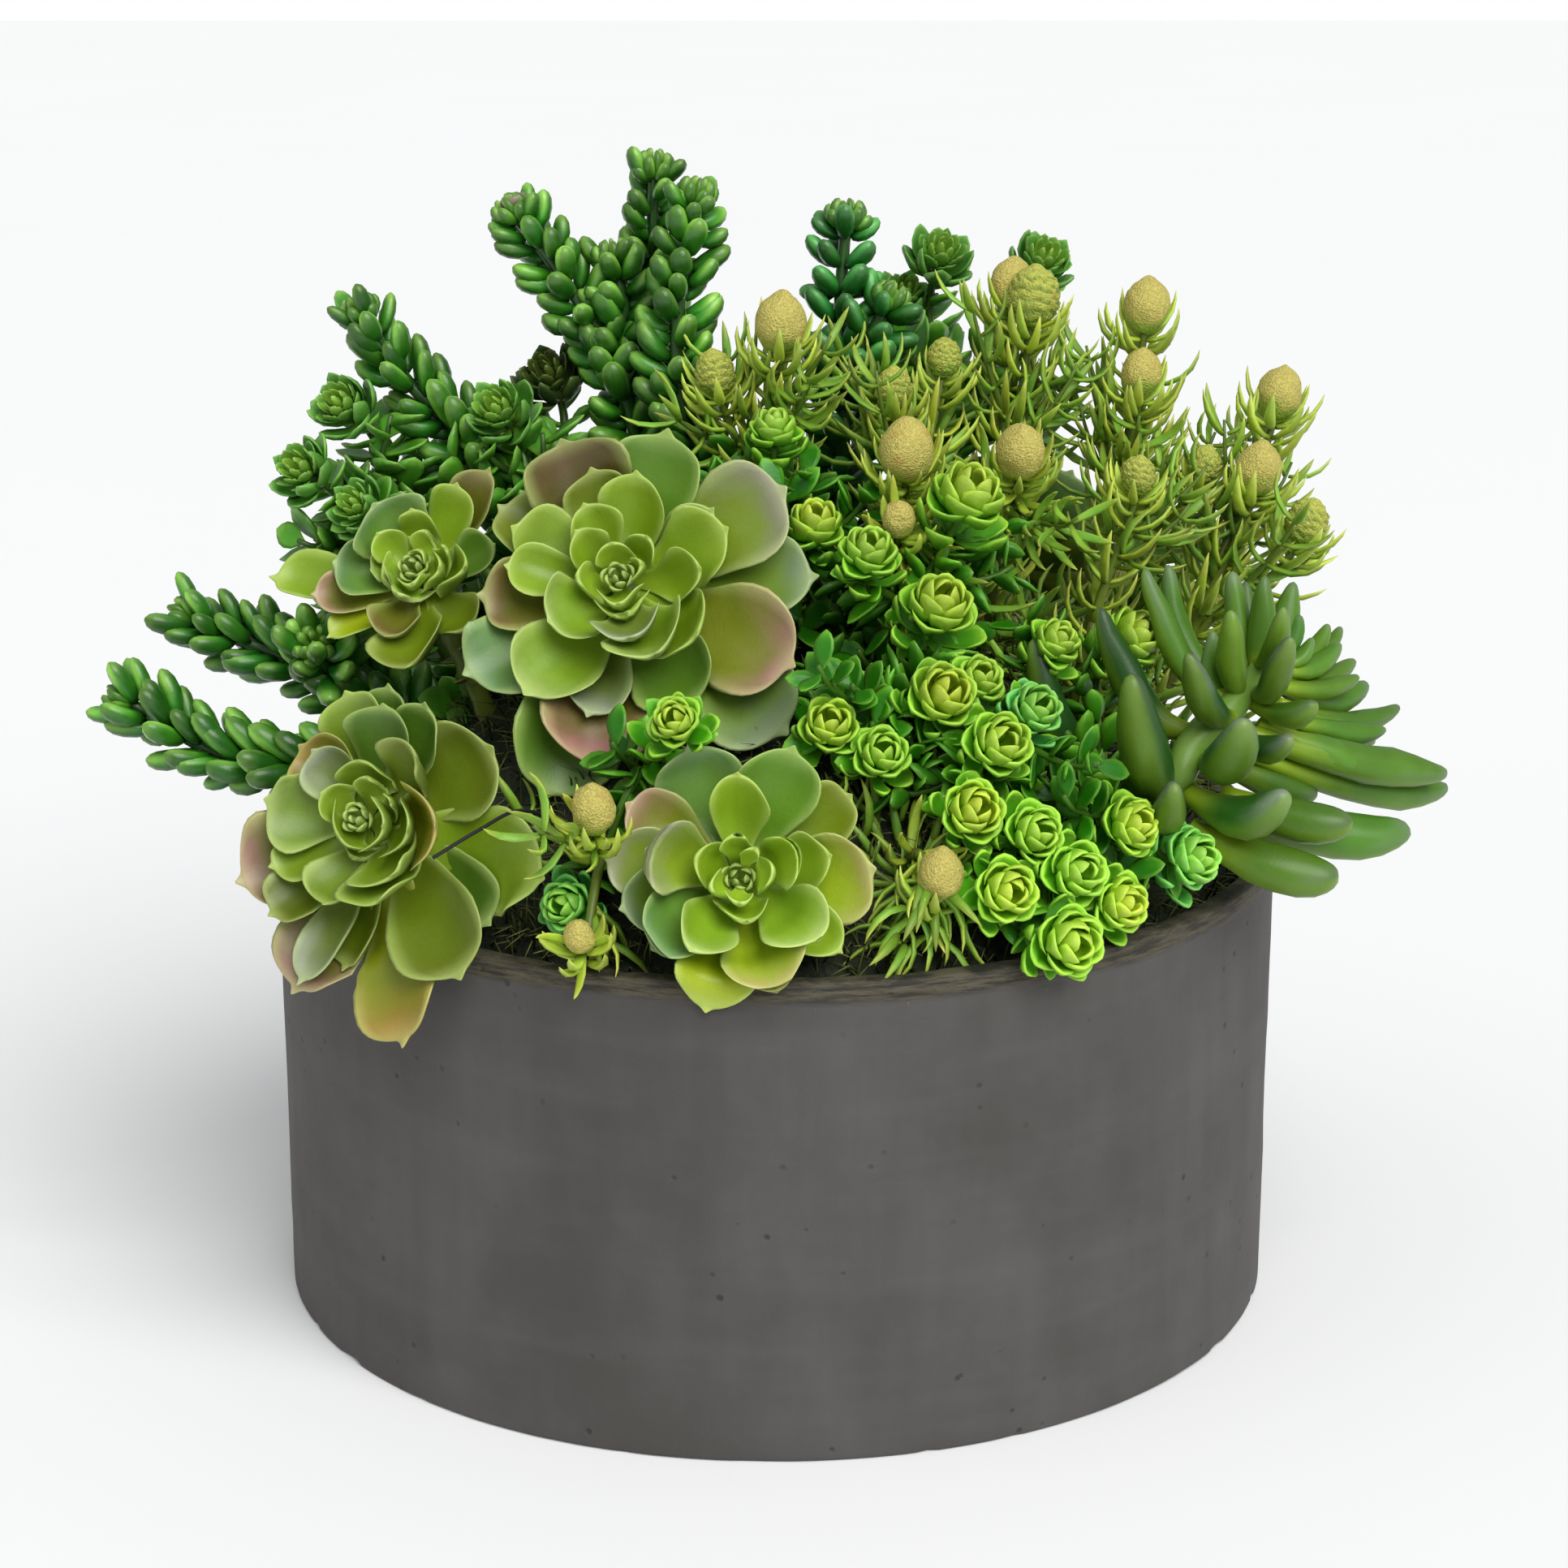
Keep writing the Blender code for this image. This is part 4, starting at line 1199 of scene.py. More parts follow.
@dataclass(frozen=True)
class Whorl:
    """Leaves packed round one point: their count, reach, sizes and colours from the inside out."""

    count: int
    radius: float
    inner: Petals
    outer: Petals
    dome: float = 0.3
    fall: float = 0.55
    depth: float = 0.7
    wide: float = 0.95
    thick: float = 0.9
    cup: float = 0.5
    bow: float = 0.32
    strength: float = 0.5
    power: float = 0.62

    def around(self, centre: Array, axis: Array, rng: np.random.Generator) -> Blades:
        """Sets the leaves round an axis.

        Leaf i of n has the share f = (i + 0.5) / n. It reaches radius f^power out, stands at
        radius (dome - fall f^2) along the axis, and turns by the golden angle from the last.

        Args:
            centre: Middle of the whorl.
            axis: The way that it faces.
            rng: Random source.

        Returns:
            The leaves.
        """
        axis = unit(axis)
        first, second = crosswise(axis).T
        share = (np.arange(self.count) + 0.5) / self.count
        angle = (np.arange(self.count) * GOLDEN_ANGLE + rng.uniform(0, math.tau))[:, None]
        out = first * np.cos(angle) + second * np.sin(angle)
        reach = (self.radius * share**self.power * rng.uniform(0.92, 1.06, self.count))[:, None]
        height = (self.radius * (self.dome - self.fall * share**2))[:, None]
        tip = centre + out * reach + axis * height
        base = centre - axis * self.radius * self.depth + out * reach * 0.12
        chord = tip - base
        length = np.linalg.norm(chord, axis=1, keepdims=True)
        face = unit(axis - unit(chord) * (unit(chord) @ axis)[:, None])
        bend = (base + tip) / 2 + (out * 0.5 - face) * self.bow * length
        shade = rng.normal(1, 0.07, (self.count, 1))
        outward = share[:, None] ** 0.9
        pairs = zip(self.inner, self.outer)
        body, flush = ((blend(inner, outer, outward) * shade).clip(0, 1) for inner, outer in pairs)
        flush[:, 3] = self.strength
        return Blades(
            base, bend, tip, face, self.radius * self.wide * (0.45 + 0.6 * share),
            np.full(self.count, self.thick), np.full(self.count, self.cup), body, flush,
            rng.normal(0, 0.15, self.count),
        )


# Angle in degrees, reach, width, lift and tint of a leaf
LeafRow = tuple[float, float, float, float, Tint]
T = Tint

CENTER_LEAVES: tuple[LeafRow, ...] = (
    (100, 12, 12, 5, T.HEART), (180, 14, 12, 4.5, T.HEART), (55, 16, 13, 4.5, T.LIME),
    (269, 9, 16, 4.5, T.HEART), (273, 12, 18, 5, T.LIME), (133, 21, 15, 4, T.LIME),
    (6, 25, 15, 5, T.LIME), (116, 26, 18, 1.5, T.LIME), (77, 33, 23, 1, T.LIME),
    (23, 37, 25, 0.5, T.LIME), (155, 37, 23, 1, T.LIME), (210, 27, 22, 3.5, T.PALE),
    (230, 46, 28, 1, T.PALE), (255, 44, 21, -4.5, T.GREY), (277, 21, 22, 11, T.GREY),
    (295, 28, 27, 10, T.PALE), (323, 31, 26, 9, T.LIME), (260, 58, 37, -8, T.RUST),
    (250, 70, 34, -16, T.GREEN), (316, 70, 34, -11, T.SLATE), (332, 60, 34, -5, T.PINK),
    (359, 60, 28, -8, T.SLATE), (27, 58, 33, -4, T.VIOLET), (71, 47, 30, -5, T.GREEN),
    (112, 46, 34, -3, T.MAROON), (104, 35, 23, -1.5, T.OLIVE), (186, 44, 25, -5, T.BROWN),
    (173, 36, 17, 0.5, T.LIME), (212, 55, 29, -7, T.BLUE), (36, 36, 16, -1.5, T.PALE),
    (28, 8, 8, 6, T.HEART), (150, 44, 22, -10, T.OLIVE), (300, 46, 26, -9, T.GREEN),
)
FRONT_LEAVES: tuple[LeafRow, ...] = (
    (63, 10, 6, 5.5, T.HEART), (93, 14, 11, 4.5, T.HEART), (1, 11, 11, 5, T.HEART),
    (265, 8, 8, 5.5, T.HEART), (201, 9, 9, 5, T.HEART), (157, 15, 14, 3.5, T.LIME),
    (24, 20, 17, 3, T.LIME), (274, 14, 16, 3.5, T.LIME), (89, 32, 18.5, 2, T.LIME),
    (13, 29, 18, 0.5, T.LIME), (163, 30, 21, 0.5, T.VIOLET), (236, 26, 19, 5, T.PALE),
    (321, 30, 21, 4.5, T.PALE), (4, 41, 28, -3, T.BLUSH), (68, 41, 24, -3, T.GREEN),
    (36, 42, 20, -7, T.OLIVE), (110, 43, 27, -5.5, T.BLUE), (148, 40, 22, -7.5, T.PINK),
    (169, 40, 20, -5, T.VIOLET), (217, 33, 22, 0, T.BLUE), (257, 40, 24, 0, T.YELLOW),
    (288, 35, 24, 1, T.BLUSH), (324, 37, 16, -2, T.LIME), (195, 36, 20, -4, T.SLATE),
)
LEFT_LEAVES: tuple[LeafRow, ...] = (
    (143, 14, 12, 5, T.HEART), (76, 12, 9, 5, T.HEART), (217, 10, 18, 4.5, T.HEART),
    (338, 8, 15, 7, T.HEART), (249, 13, 19, 3.5, T.LIME), (85, 18, 19, 3, T.LIME),
    (344, 16, 19, 8, T.LIME), (167, 28, 25, 2, T.PALE), (206, 30, 15, 1.5, T.LIME),
    (248, 28, 22, 4, T.LIME), (226, 41, 20, 0.5, T.OLIVE), (299, 20, 24, 10, T.LIME),
    (284, 26, 25, 8.5, T.LIME), (42, 25, 24, 8, T.OLIVE), (355, 24, 26, 9, T.ORANGE),
    (75, 36, 24, -0.5, T.GREEN), (57, 40, 20, -2, T.GREEN), (121, 25, 18, 0.5, T.GREY),
    (206, 40, 30, -3, T.PINK), (125, 29, 22, -5, T.ORANGE), (93, 39, 22, -6.5, T.LIME),
    (75, 41, 22, -9, T.GREEN), (249, 52, 15, -1, T.GREY), (249, 56, 28, -5.5, T.PINK),
    (280, 68, 29, -5, T.ORANGE), (301, 56, 31, -4.5, T.OLIVE), (341, 57, 32, -9.5, T.LIME),
    (25, 46, 32, -13, T.OLIVE), (25, 11, 9, 6.5, T.HEART), (318, 50, 24, -13, T.GREEN),
    (262, 46, 18, -8.5, T.OLIVE),
)
UPPER_LEFT_LEAVES: tuple[LeafRow, ...] = (
    (136, 17, 12, 4.5, T.HEART), (69, 13, 9.5, 5, T.HEART), (197, 12, 14, 4, T.HEART),
    (92, 19, 17, 3, T.LIME), (151, 16, 17, 2.5, T.PALE), (122, 24, 26, 0.5, T.BLUE),
    (175, 25, 22, -1, T.BLUE), (235, 11, 17, 5, T.PALE), (60, 31, 17, -0.5, T.LIME),
    (50, 40, 16, -3, T.BROWN), (354, 9, 14, 6, T.HEART), (355, 17, 16, 7, T.LIME),
    (194, 32, 16, -2.5, T.PINK), (248, 24, 18, 2, T.BROWN), (267, 32, 25, 3, T.OLIVE),
    (65, 6, 7, 5, T.HEART), (270, 6, 10, 4, T.HEART), (28, 13, 10, 6, T.HEART),
    (218, 34, 12, -4.5, T.YELLOW), (310, 27, 17, -1, T.OLIVE), (97, 24, 12, -2, T.BLUE),
    (15, 27, 15, -3, T.GREEN), (183, 45, 17, -13, T.LIME),
)


def spiral_rows(count: int, reach: float, tints: Sequence[Tint], turn: float) -> tuple[LeafRow, ...]:
    """Leaves of a rosette that the camera doesn't see: each turns by the golden angle.

    Args:
        count: How many.
        reach: How far the outermost one reaches.
        tints: Tints from the inside out, spread over the leaves.
        turn: Angle of the first.

    Returns:
        One row a leaf.
    """
    shares = ((index + 0.5) / count for index in range(count))
    return tuple(
        (
            turn + math.degrees(GOLDEN_ANGLE) * index,
            reach * (0.16 + 0.84 * share**0.9),
            reach * (0.2 + 0.38 * share**0.8),
            5 - 11 * share**1.3,
            tints[min(int(share * len(tints)), len(tints) - 1)],
        )
        for index, share in enumerate(shares)
    )


BACK_TINTS = (T.HEART, T.HEART, T.LIME, T.LIME, T.PALE, T.YELLOW, T.GREEN, T.VIOLET, T.PINK, T.BLUE)


@dataclass(frozen=True)
class Echeveria:
    """A big rosette on a short stem, in four pieces: stem, outer leaves, middle leaves and heart."""

    name: str
    root: tuple[float, float]
    heart: Triple
    facing: Triple
    rows: tuple[LeafRow, ...]
    limits: tuple[float, float]
    seed: int
    faces_camera: bool = True
    tone: float = 1.0
    warmth: Colour = (1.03, 1.07, 0.84, 1.0)

    def axis(self) -> Array:
        """The way that it faces, one long."""
        return unit(np.array(self.facing, float))

    def blades(self, rng: np.random.Generator) -> Blades:
        """Leaves from the table rows.

        A row's angle and reach are seen from the camera, or along the axis of a rosette at
        the back, and its lift is measured along the axis. The tip is heart + q + t v, with q
        in the plane across the sight line v and t chosen so that the lift holds.

        Args:
            rng: Random source.

        Returns:
            The leaves.
        """
        heart, axis = np.array(self.heart, float), self.axis()
        sight = unit(CAMERA_PLACE - heart) if self.faces_camera else axis
        right = unit(np.cross(UP, sight))
        up = np.cross(sight, right)
        numbers = np.array([row[:4] for row in self.rows], float)
        angle, reach = np.radians(numbers[:, :1]), numbers[:, 1:2]
        width, lift = numbers[:, 2], numbers[:, 3:4]
        flat = reach * (np.cos(angle) * right + np.sin(angle) * up)
        tip = heart + flat + sight * ((lift - flat @ axis[:, None]) / (sight @ axis))
        out = tip - heart
        out = unit(out - (out @ axis)[:, None] * axis)
        depth = np.minimum(4 + 0.2 * reach, 13)
        base = heart - axis * depth + out * (1.5 + 0.05 * reach)
        chord = tip - base
        length = np.linalg.norm(chord, axis=1, keepdims=True)
        face = unit(axis - unit(chord) * (unit(chord) @ axis)[:, None])
        bow = 0.30 - 0.004 * reach + rng.normal(0, 0.015, reach.shape)
        bend = (base + tip) / 2 - face * bow * length
        count = len(self.rows)
        bodies, tips, strengths = zip(*(row[4].value for row in self.rows))
        shade = rng.normal(self.tone, 0.05, (count, 1))
        body = np.array(bodies) * shade * np.array(self.warmth)
        flush = np.array(tips) * shade
        flush[:, 3] = strengths
        cup = 0.98 - 0.007 * reach[:, 0] + rng.normal(0, 0.04, count)
        return Blades(
            base, bend, tip, face, width, 2.0 + 0.02 * reach[:, 0], cup.clip(0.3, 1.0),
            body.clip(0, 1), flush.clip(0, 1), rng.normal(0, 0.14, count), 0.22,
        )

    def bud(self, rng: np.random.Generator) -> Blades:
        """The tiny leaves packed in the heart.

        Args:
            rng: Random source.

        Returns:
            The leaves.
        """
        inner = (paint(160, 190, 90), paint(196, 214, 140))
        whorl = Whorl(11, 5.4, inner, T.HEART.value[:2], dome=0.5, thick=1.5)
        return whorl.around(np.array(self.heart) + self.axis() * 1.5, self.axis(), rng)

    def stem(self) -> Array:
        """The stem's centre line, from under the moss to the back of the rosette.

        Returns:
            Its points.
        """
        start, axis = rooted(self.root, -2.0), self.axis()
        end = np.array(self.heart, float) - axis * 8
        return np.vstack((start - UP * BURIED, arc(start, unit(end - start) + UP * 0.2, end, axis, 14)))

    def shape(self) -> tuple[Array, Array, Blades]:
        """Its leaves, nested into each other and draped over the rim.

        Returns:
            Their skins, their marks and the blades that they come from.
        """
        blades = self.blades(np.random.default_rng(self.seed))
        points, marks = leaf_skins(blades, SPOON)
        points = points + waves(points, 1.3)
        order = np.argsort([0.12 * reach - 0.15 * lift for _, reach, _, lift, _ in self.rows])
        points = nested(points, marks[0, :, 0, 0], self.axis(), order)
        return draped(points, self.axis(), order), marks, blades

    def build(self, shop: Workshop) -> None:
        """Builds its four pieces.

        Args:
            shop: Finishes, and the leaves that shape() gave.
        """
        rng = np.random.default_rng(self.seed + 100)
        points, marks, blades = shop.shapes[self.name]
        reach = np.array([row[1] for row in self.rows])
        small, large = self.limits
        rings = {
            "heart": reach <= small,
            "middle_leaves": (reach > small) & (reach <= large),
            "outer_leaves": reach > large,
        }
        for ring, kept in rings.items():
            node = f"{self.name}_{ring}"
            skin = Skin(f"{node}_skin", [shop.finish["echeveria"]])
            skin.add(points[kept], marks[kept], blades.body[kept], blades.flush[kept])
            if ring == "heart":
                skin.leaves(self.bud(rng), PETAL)
            skin.build(node, "rosette_" + ring.split("_")[0])
        node, path = f"{self.name}_stem", self.stem()
        skin = Skin(f"{node}_skin", [shop.finish["stem"]])
        ringed = 1 + 0.14 * np.sin(np.linspace(0, 9 * math.tau, len(path)))
        skin.tube(path, np.linspace(3.0, 4.2, len(path)) * ringed, paint(112, 128, 46), 12)
        scars = Foliage(
            3.2, 5.5, 5.0, 1.4, 0, 30, paint(122, 128, 44), paint(150, 110, 60), cup=0.3, girth=2.6,
            from_share=0.35, to_share=0.9,
        )
        skin.leaves(scars.along(path, rng), OVAL)
        skin.build(node, "rosette_stem")


TAIL_LEAVES = Foliage(
    spacing=4.6, per_whorl=3, length=14.8, width=8.0, thick=7.0, rise_at_base=18, rise_at_tip=62,
    body=paint(48, 126, 24), tip=paint(134, 182, 74), strength=0.85, shrink=0.24, girth=2.4,
    lift=0.08, to_share=0.98, spread=0.34,
)
TAIL_STEM = Stem(3.0, 1.8, paint(44, 92, 26))
TAIL_TIP = Whorl(
    12, 7.4, (paint(110, 166, 52), paint(160, 194, 92)), (paint(80, 150, 40), paint(132, 176, 70)),
    dome=0.9, fall=0.7, depth=0.3, wide=0.66, thick=4.2, cup=0.1,
)


@dataclass(frozen=True)
class PlumpTail:
    """A hanging or upright tail of plump leaves in whorls, with a small bud of them at its tip."""

    name: str
    root: tuple[float, float]
    points: tuple[Triple, ...]
    seed: int
    fork: tuple[Triple, ...] = ()
    leaves: Foliage = TAIL_LEAVES
    cut: bool = False

    def build(self, shop: Workshop) -> None:
        """Builds it as one piece: stem, whorls and tip, and the pale end of a cut stem.

        Args:
            shop: Its finishes.
        """
        rng = np.random.default_rng(self.seed)
        skin = Skin(f"{self.name}_skin", [shop.finish["plump"]])
        paths = [curve_through([rooted(self.root), *self.points], 40)]
        if self.fork:
            paths.append(curve_through([self.points[1], *self.fork], 20))
        for index, path in enumerate(paths):
            skin.stem(np.vstack((path[:1] - UP * BURIED * (index == 0), path)), TAIL_STEM)
            skin.leaves(self.leaves.along(path, rng), PLUMP)
            forward = unit(path[-1] - path[-3])
            skin.leaves(TAIL_TIP.around(path[-1] - forward * 1.5, forward, rng), PLUMP)
            if self.cut and index == 0:
                steps = np.array((0.0, 3.0, 4.4, 4.9, 4.5))[:, None]
                end = path[-1] + RIGHT * 2 + unit(forward + UP) * steps
                skin.tube(end, np.array((3.4, 4.0, 4.2, 3.8, 1.2)), paint(142, 126, 108), 12)
        skin.build(self.name, "plump_leaves")


@dataclass(frozen=True)
class Head:
    """One head of a sprig: its middle, its radius and whether it is of its kind's rarer sort."""

    place: Triple
    radius: float
    rare: bool


@dataclass(frozen=True)
class SprigKind:
    """What the sprigs of one kind share: finishes, leaves, stems and length of side shoots."""

    finishes: tuple[str, ...]
    slot: str
    cut: Cut
    leaves: Foliage
    shoot_leaves: Foliage
    shoot_length: tuple[float, float]
    trunk: Stem
    branch: Stem
    shoot: Stem
    bare: int = 2


@dataclass(frozen=True)
class Sprig:
    """A forked stem with a head on each branch; the kinds of sprig differ in head and leaf."""

    kind: ClassVar[SprigKind]

    name: str
    root: tuple[float, float]
    heads: tuple[Head, ...]
    seed: int
    shoots: int = 2
    carpet: int = 6
    forward: float = 0.7
    focus: Triple = (0.0, 0.0, 120.0)

    def add_head(self, skin: Skin, index: int, shop: Workshop, rng: np.random.Generator) -> None:
        """Adds one head to the piece.

        Args:
            skin: The piece.
            index: Which head.
            shop: The room to leave free.
            rng: Random source.
        """
        raise NotImplementedError

    def rise(self) -> Array:
        """The way from its root to the middle of its heads."""
        return np.mean([head.place for head in self.heads], axis=0) - rooted(self.root)

    def hub(self) -> Array:
        """Where the branches leave the trunk."""
        return rooted(self.root) + self.rise() * 0.3 + UP * 4

    def trunk(self) -> Array:
        """The trunk's centre line, from under the moss to the hub."""
        start = rooted(self.root)
        return np.vstack((start - UP * BURIED, arc(start, UP, self.hub(), self.rise(), 8)))

    def facing(self, head: Head) -> Array:
        """The way a head looks: away from a point deep in the bed."""
        return unit(np.array(head.place) - np.array(self.focus))

    def branch(self, head: Head) -> Array:
        """Centre line of a head's branch.

        Args:
            head: The head.

        Returns:
            Its points.
        """
        facing, place = self.facing(head), np.array(head.place, float)
        leave = unit(place - self.hub()) + UP * 0.6
        return arc(self.hub(), leave, place - facing * head.radius * 0.7, facing, 16)

    def side_shoots(self, rng: np.random.Generator) -> list[Array]:
        """Leafy shoots without a head: they leave each branch and the root, and turn upwards.

        Args:
            rng: Random source.

        Returns:
            A centre line for each.
        """
        starts, ways = [], []
        for head in self.heads:
            path = self.branch(head)
            along, first, second = sides_of(path)
            for at, turn in zip(rng.integers(2, 10, self.shoots), rng.uniform(0, math.tau, self.shoots)):
                aside = first[at] * math.cos(turn) + second[at] * math.sin(turn)
                starts.append(path[at])
                ways.append(along[at] * self.forward + aside)
        for turn in np.arange(self.carpet) * math.tau / max(self.carpet, 1) + rng.uniform(0, 1):
            starts.append(rooted(self.root, -2.0))
            ways.append(np.array((math.cos(turn), math.sin(turn), rng.uniform(0.35, 0.8))))
        paths = []
        for start, way in zip(starts, ways):
            reach = rng.uniform(*self.kind.shoot_length)
            end = above_moss(start + unit(way) * reach, rng.uniform(8, 16))
            paths.append(arc(start, way, end, unit(end - start) + UP * 0.7, 7))
        return paths

    def build(self, shop: Workshop) -> None:
        """Builds it as one piece: trunk, branches, heads and side shoots, all with leaves.

        Args:
            shop: Its finishes, and the room to leave free.
        """
        kind, clear, rng = self.kind, shop.keep_out.clear, np.random.default_rng(self.seed)
        skin = Skin(f"{self.name}_skin", [shop.finish[name] for name in kind.finishes])
        trunk = self.trunk()
        skin.stem(trunk, kind.trunk)
        skin.leaves(clear(kind.leaves.along(trunk[kind.bare:], rng)), kind.cut)
        for index, head in enumerate(self.heads):
            path = self.branch(head)
            skin.stem(path, kind.branch)
            skin.leaves(clear(kind.leaves.along(path, rng)), kind.cut)
            self.add_head(skin, index, shop, rng)
        for path, leaves in shop.keep_out.clothed(self.side_shoots(rng), kind.shoot_leaves, rng):
            skin.stem(path, kind.shoot)
            skin.leaves(leaves, kind.cut)
        skin.build(self.name, kind.slot)


MINI_STEM_LEAVES = Foliage(
    spacing=5.2, per_whorl=2, length=13.5, width=7.4, thick=1.7, rise_at_base=12, rise_at_tip=46,
    body=paint(70, 160, 12), tip=paint(118, 190, 40), strength=0.8, cup=0.45, shrink=0.12, girth=0.9,
)
MINI_SHOOT_LEAVES = replace(
    MINI_STEM_LEAVES, body=paint(40, 122, 8), tip=paint(78, 156, 26), spacing=5.0,
)


@dataclass(frozen=True)
class MiniSprig(Sprig):
    """A leafy sprig whose heads are small roses, pale yellow-green within."""

    kind: ClassVar[SprigKind] = SprigKind(
        ("mini",), "mini_rosettes", OVAL, MINI_STEM_LEAVES, MINI_SHOOT_LEAVES, (18, 34),
        Stem(1.9, 1.9, paint(78, 112, 30)), Stem(1.5, 1.1, paint(84, 128, 32)),
        Stem(1.3, 0.8, paint(70, 116, 30), 6),
    )

    def add_head(self, skin: Skin, index: int, shop: Workshop, rng: np.random.Generator) -> None:
        """Adds the petals of one head: some heads are yellow, some green, some bluish.

        Heads low down are lighter: painted light.

        Args:
            skin: The piece.
            index: Which head.
            shop: Not needed for its leaves.
            rng: Random source.
        """
        head = self.heads[index]
        glow = rng.uniform(0.0, 1.0)
        cool = max(0.0, glow - 0.7) / 0.3
        # Painted light: heads 175 high have their colours raised 1.35 times, fading to none at 225
        light = np.interp(head.place[2], (175, 225), (1.35, 1.0))
        inner = blend(paint(186, 204, 34), paint(116, 188, 38), glow) * light
        tip = blend(paint(212, 222, 78), paint(156, 214, 84), glow) * light
        outer = blend(paint(86, 170, 26), paint(48, 158, 58), cool) * light
        rim = blend(paint(148, 204, 54), paint(100, 200, 112), cool) * light
        whorl = Whorl(
            18, head.radius * 1.16, (inner, tip), (outer, rim), dome=0.66, fall=0.92, depth=0.5,
            wide=1.12, thick=1.7, cup=0.72, power=0.66, strength=0.8,
        )
        skirt = replace(
            whorl, count=5, radius=head.radius * 1.5, inner=whorl.outer, dome=-0.25, fall=0.3, depth=0.9,
            wide=0.62, power=0.12,
        )
        place, facing = np.array(head.place, float), self.facing(head)
        skin.leaves(whorl.around(place, facing, rng), PETAL)
        skin.leaves(skirt.around(place, facing, rng), PETAL)


SAW_STEM_LEAVES = Foliage(
    spacing=5.4, per_whorl=2, length=15.5, width=10.5, thick=1.8, rise_at_base=15, rise_at_tip=50,
    body=paint(74, 154, 30), tip=paint(132, 190, 72), strength=0.8, cup=0.4, shrink=0.1, girth=1.0,
)


@dataclass(frozen=True)
class SawSprig(Sprig):
    """A sprig of smooth oval leaves whose heads are goblets of saw-edged leaves."""

    kind: ClassVar[SprigKind] = SprigKind(
        ("saw",), "saw_edged_rosettes", OVAL, SAW_STEM_LEAVES, SAW_STEM_LEAVES, (20, 36),
        Stem(2.1, 2.1, paint(70, 92, 30)), Stem(1.7, 1.3, paint(70, 104, 34)),
        Stem(1.5, 0.9, paint(60, 96, 32), 6),
    )
    green: ClassVar[tuple[Petals, Petals]] = (
        (paint(138, 186, 50), paint(180, 212, 96)), (paint(84, 156, 50), paint(140, 196, 96)),
    )
    olive: ClassVar[tuple[Petals, Petals]] = (
        (paint(80, 94, 26), paint(104, 112, 40)), (paint(42, 62, 22), paint(64, 76, 30)),
    )

    shoots: int = 3
    carpet: int = 4
    turned: float = 0.8

    def facing(self, head: Head) -> Array:
        """The way a head looks: outwards, turned some way to the front."""
        return unit(super().facing(head) + np.array((0.0, -self.turned, 0.0)))

    def add_head(self, skin: Skin, index: int, shop: Workshop, rng: np.random.Generator) -> None:
        """Adds one goblet: a crown of saw-edged leaves in a cup of smooth ones.

        Args:
            skin: The piece.
            index: Which head; a rare one is olive.
            shop: Not needed for its leaves.
            rng: Random source.
        """
        head = self.heads[index]
        inner, outer = self.olive if head.rare else self.green
        crown = Whorl(
            18, head.radius, inner, outer, dome=0.55, fall=0.4, depth=0.6, wide=0.72,
            thick=1.0, cup=0.45, bow=0.2,
        )
        cup = Whorl(
            8, head.radius * 1.4, outer, outer, dome=0.3, fall=0.5, depth=0.8, wide=0.9,
            thick=1.6, cup=0.5, bow=0.28, power=0.2,
        )
        place, facing = np.array(head.place, float), self.facing(head)
        skin.leaves(crown.around(place, facing, rng), TOOTHED)
        skin.leaves(cup.around(place, facing, rng), OVAL)


NEEDLE_STEM_LEAVES = Foliage(
    spacing=8.0, per_whorl=3, length=25, width=3.2, thick=1.7, rise_at_base=16, rise_at_tip=88,
    body=paint(184, 210, 62), tip=paint(204, 204, 88), strength=0.8, cup=0.35, shrink=0.2, girth=0.9,
    spread=0.16,
)
NEEDLE_SHOOT_LEAVES = replace(
    NEEDLE_STEM_LEAVES, body=paint(132, 184, 54), tip=paint(184, 184, 70), spacing=9.2, length=24,
)


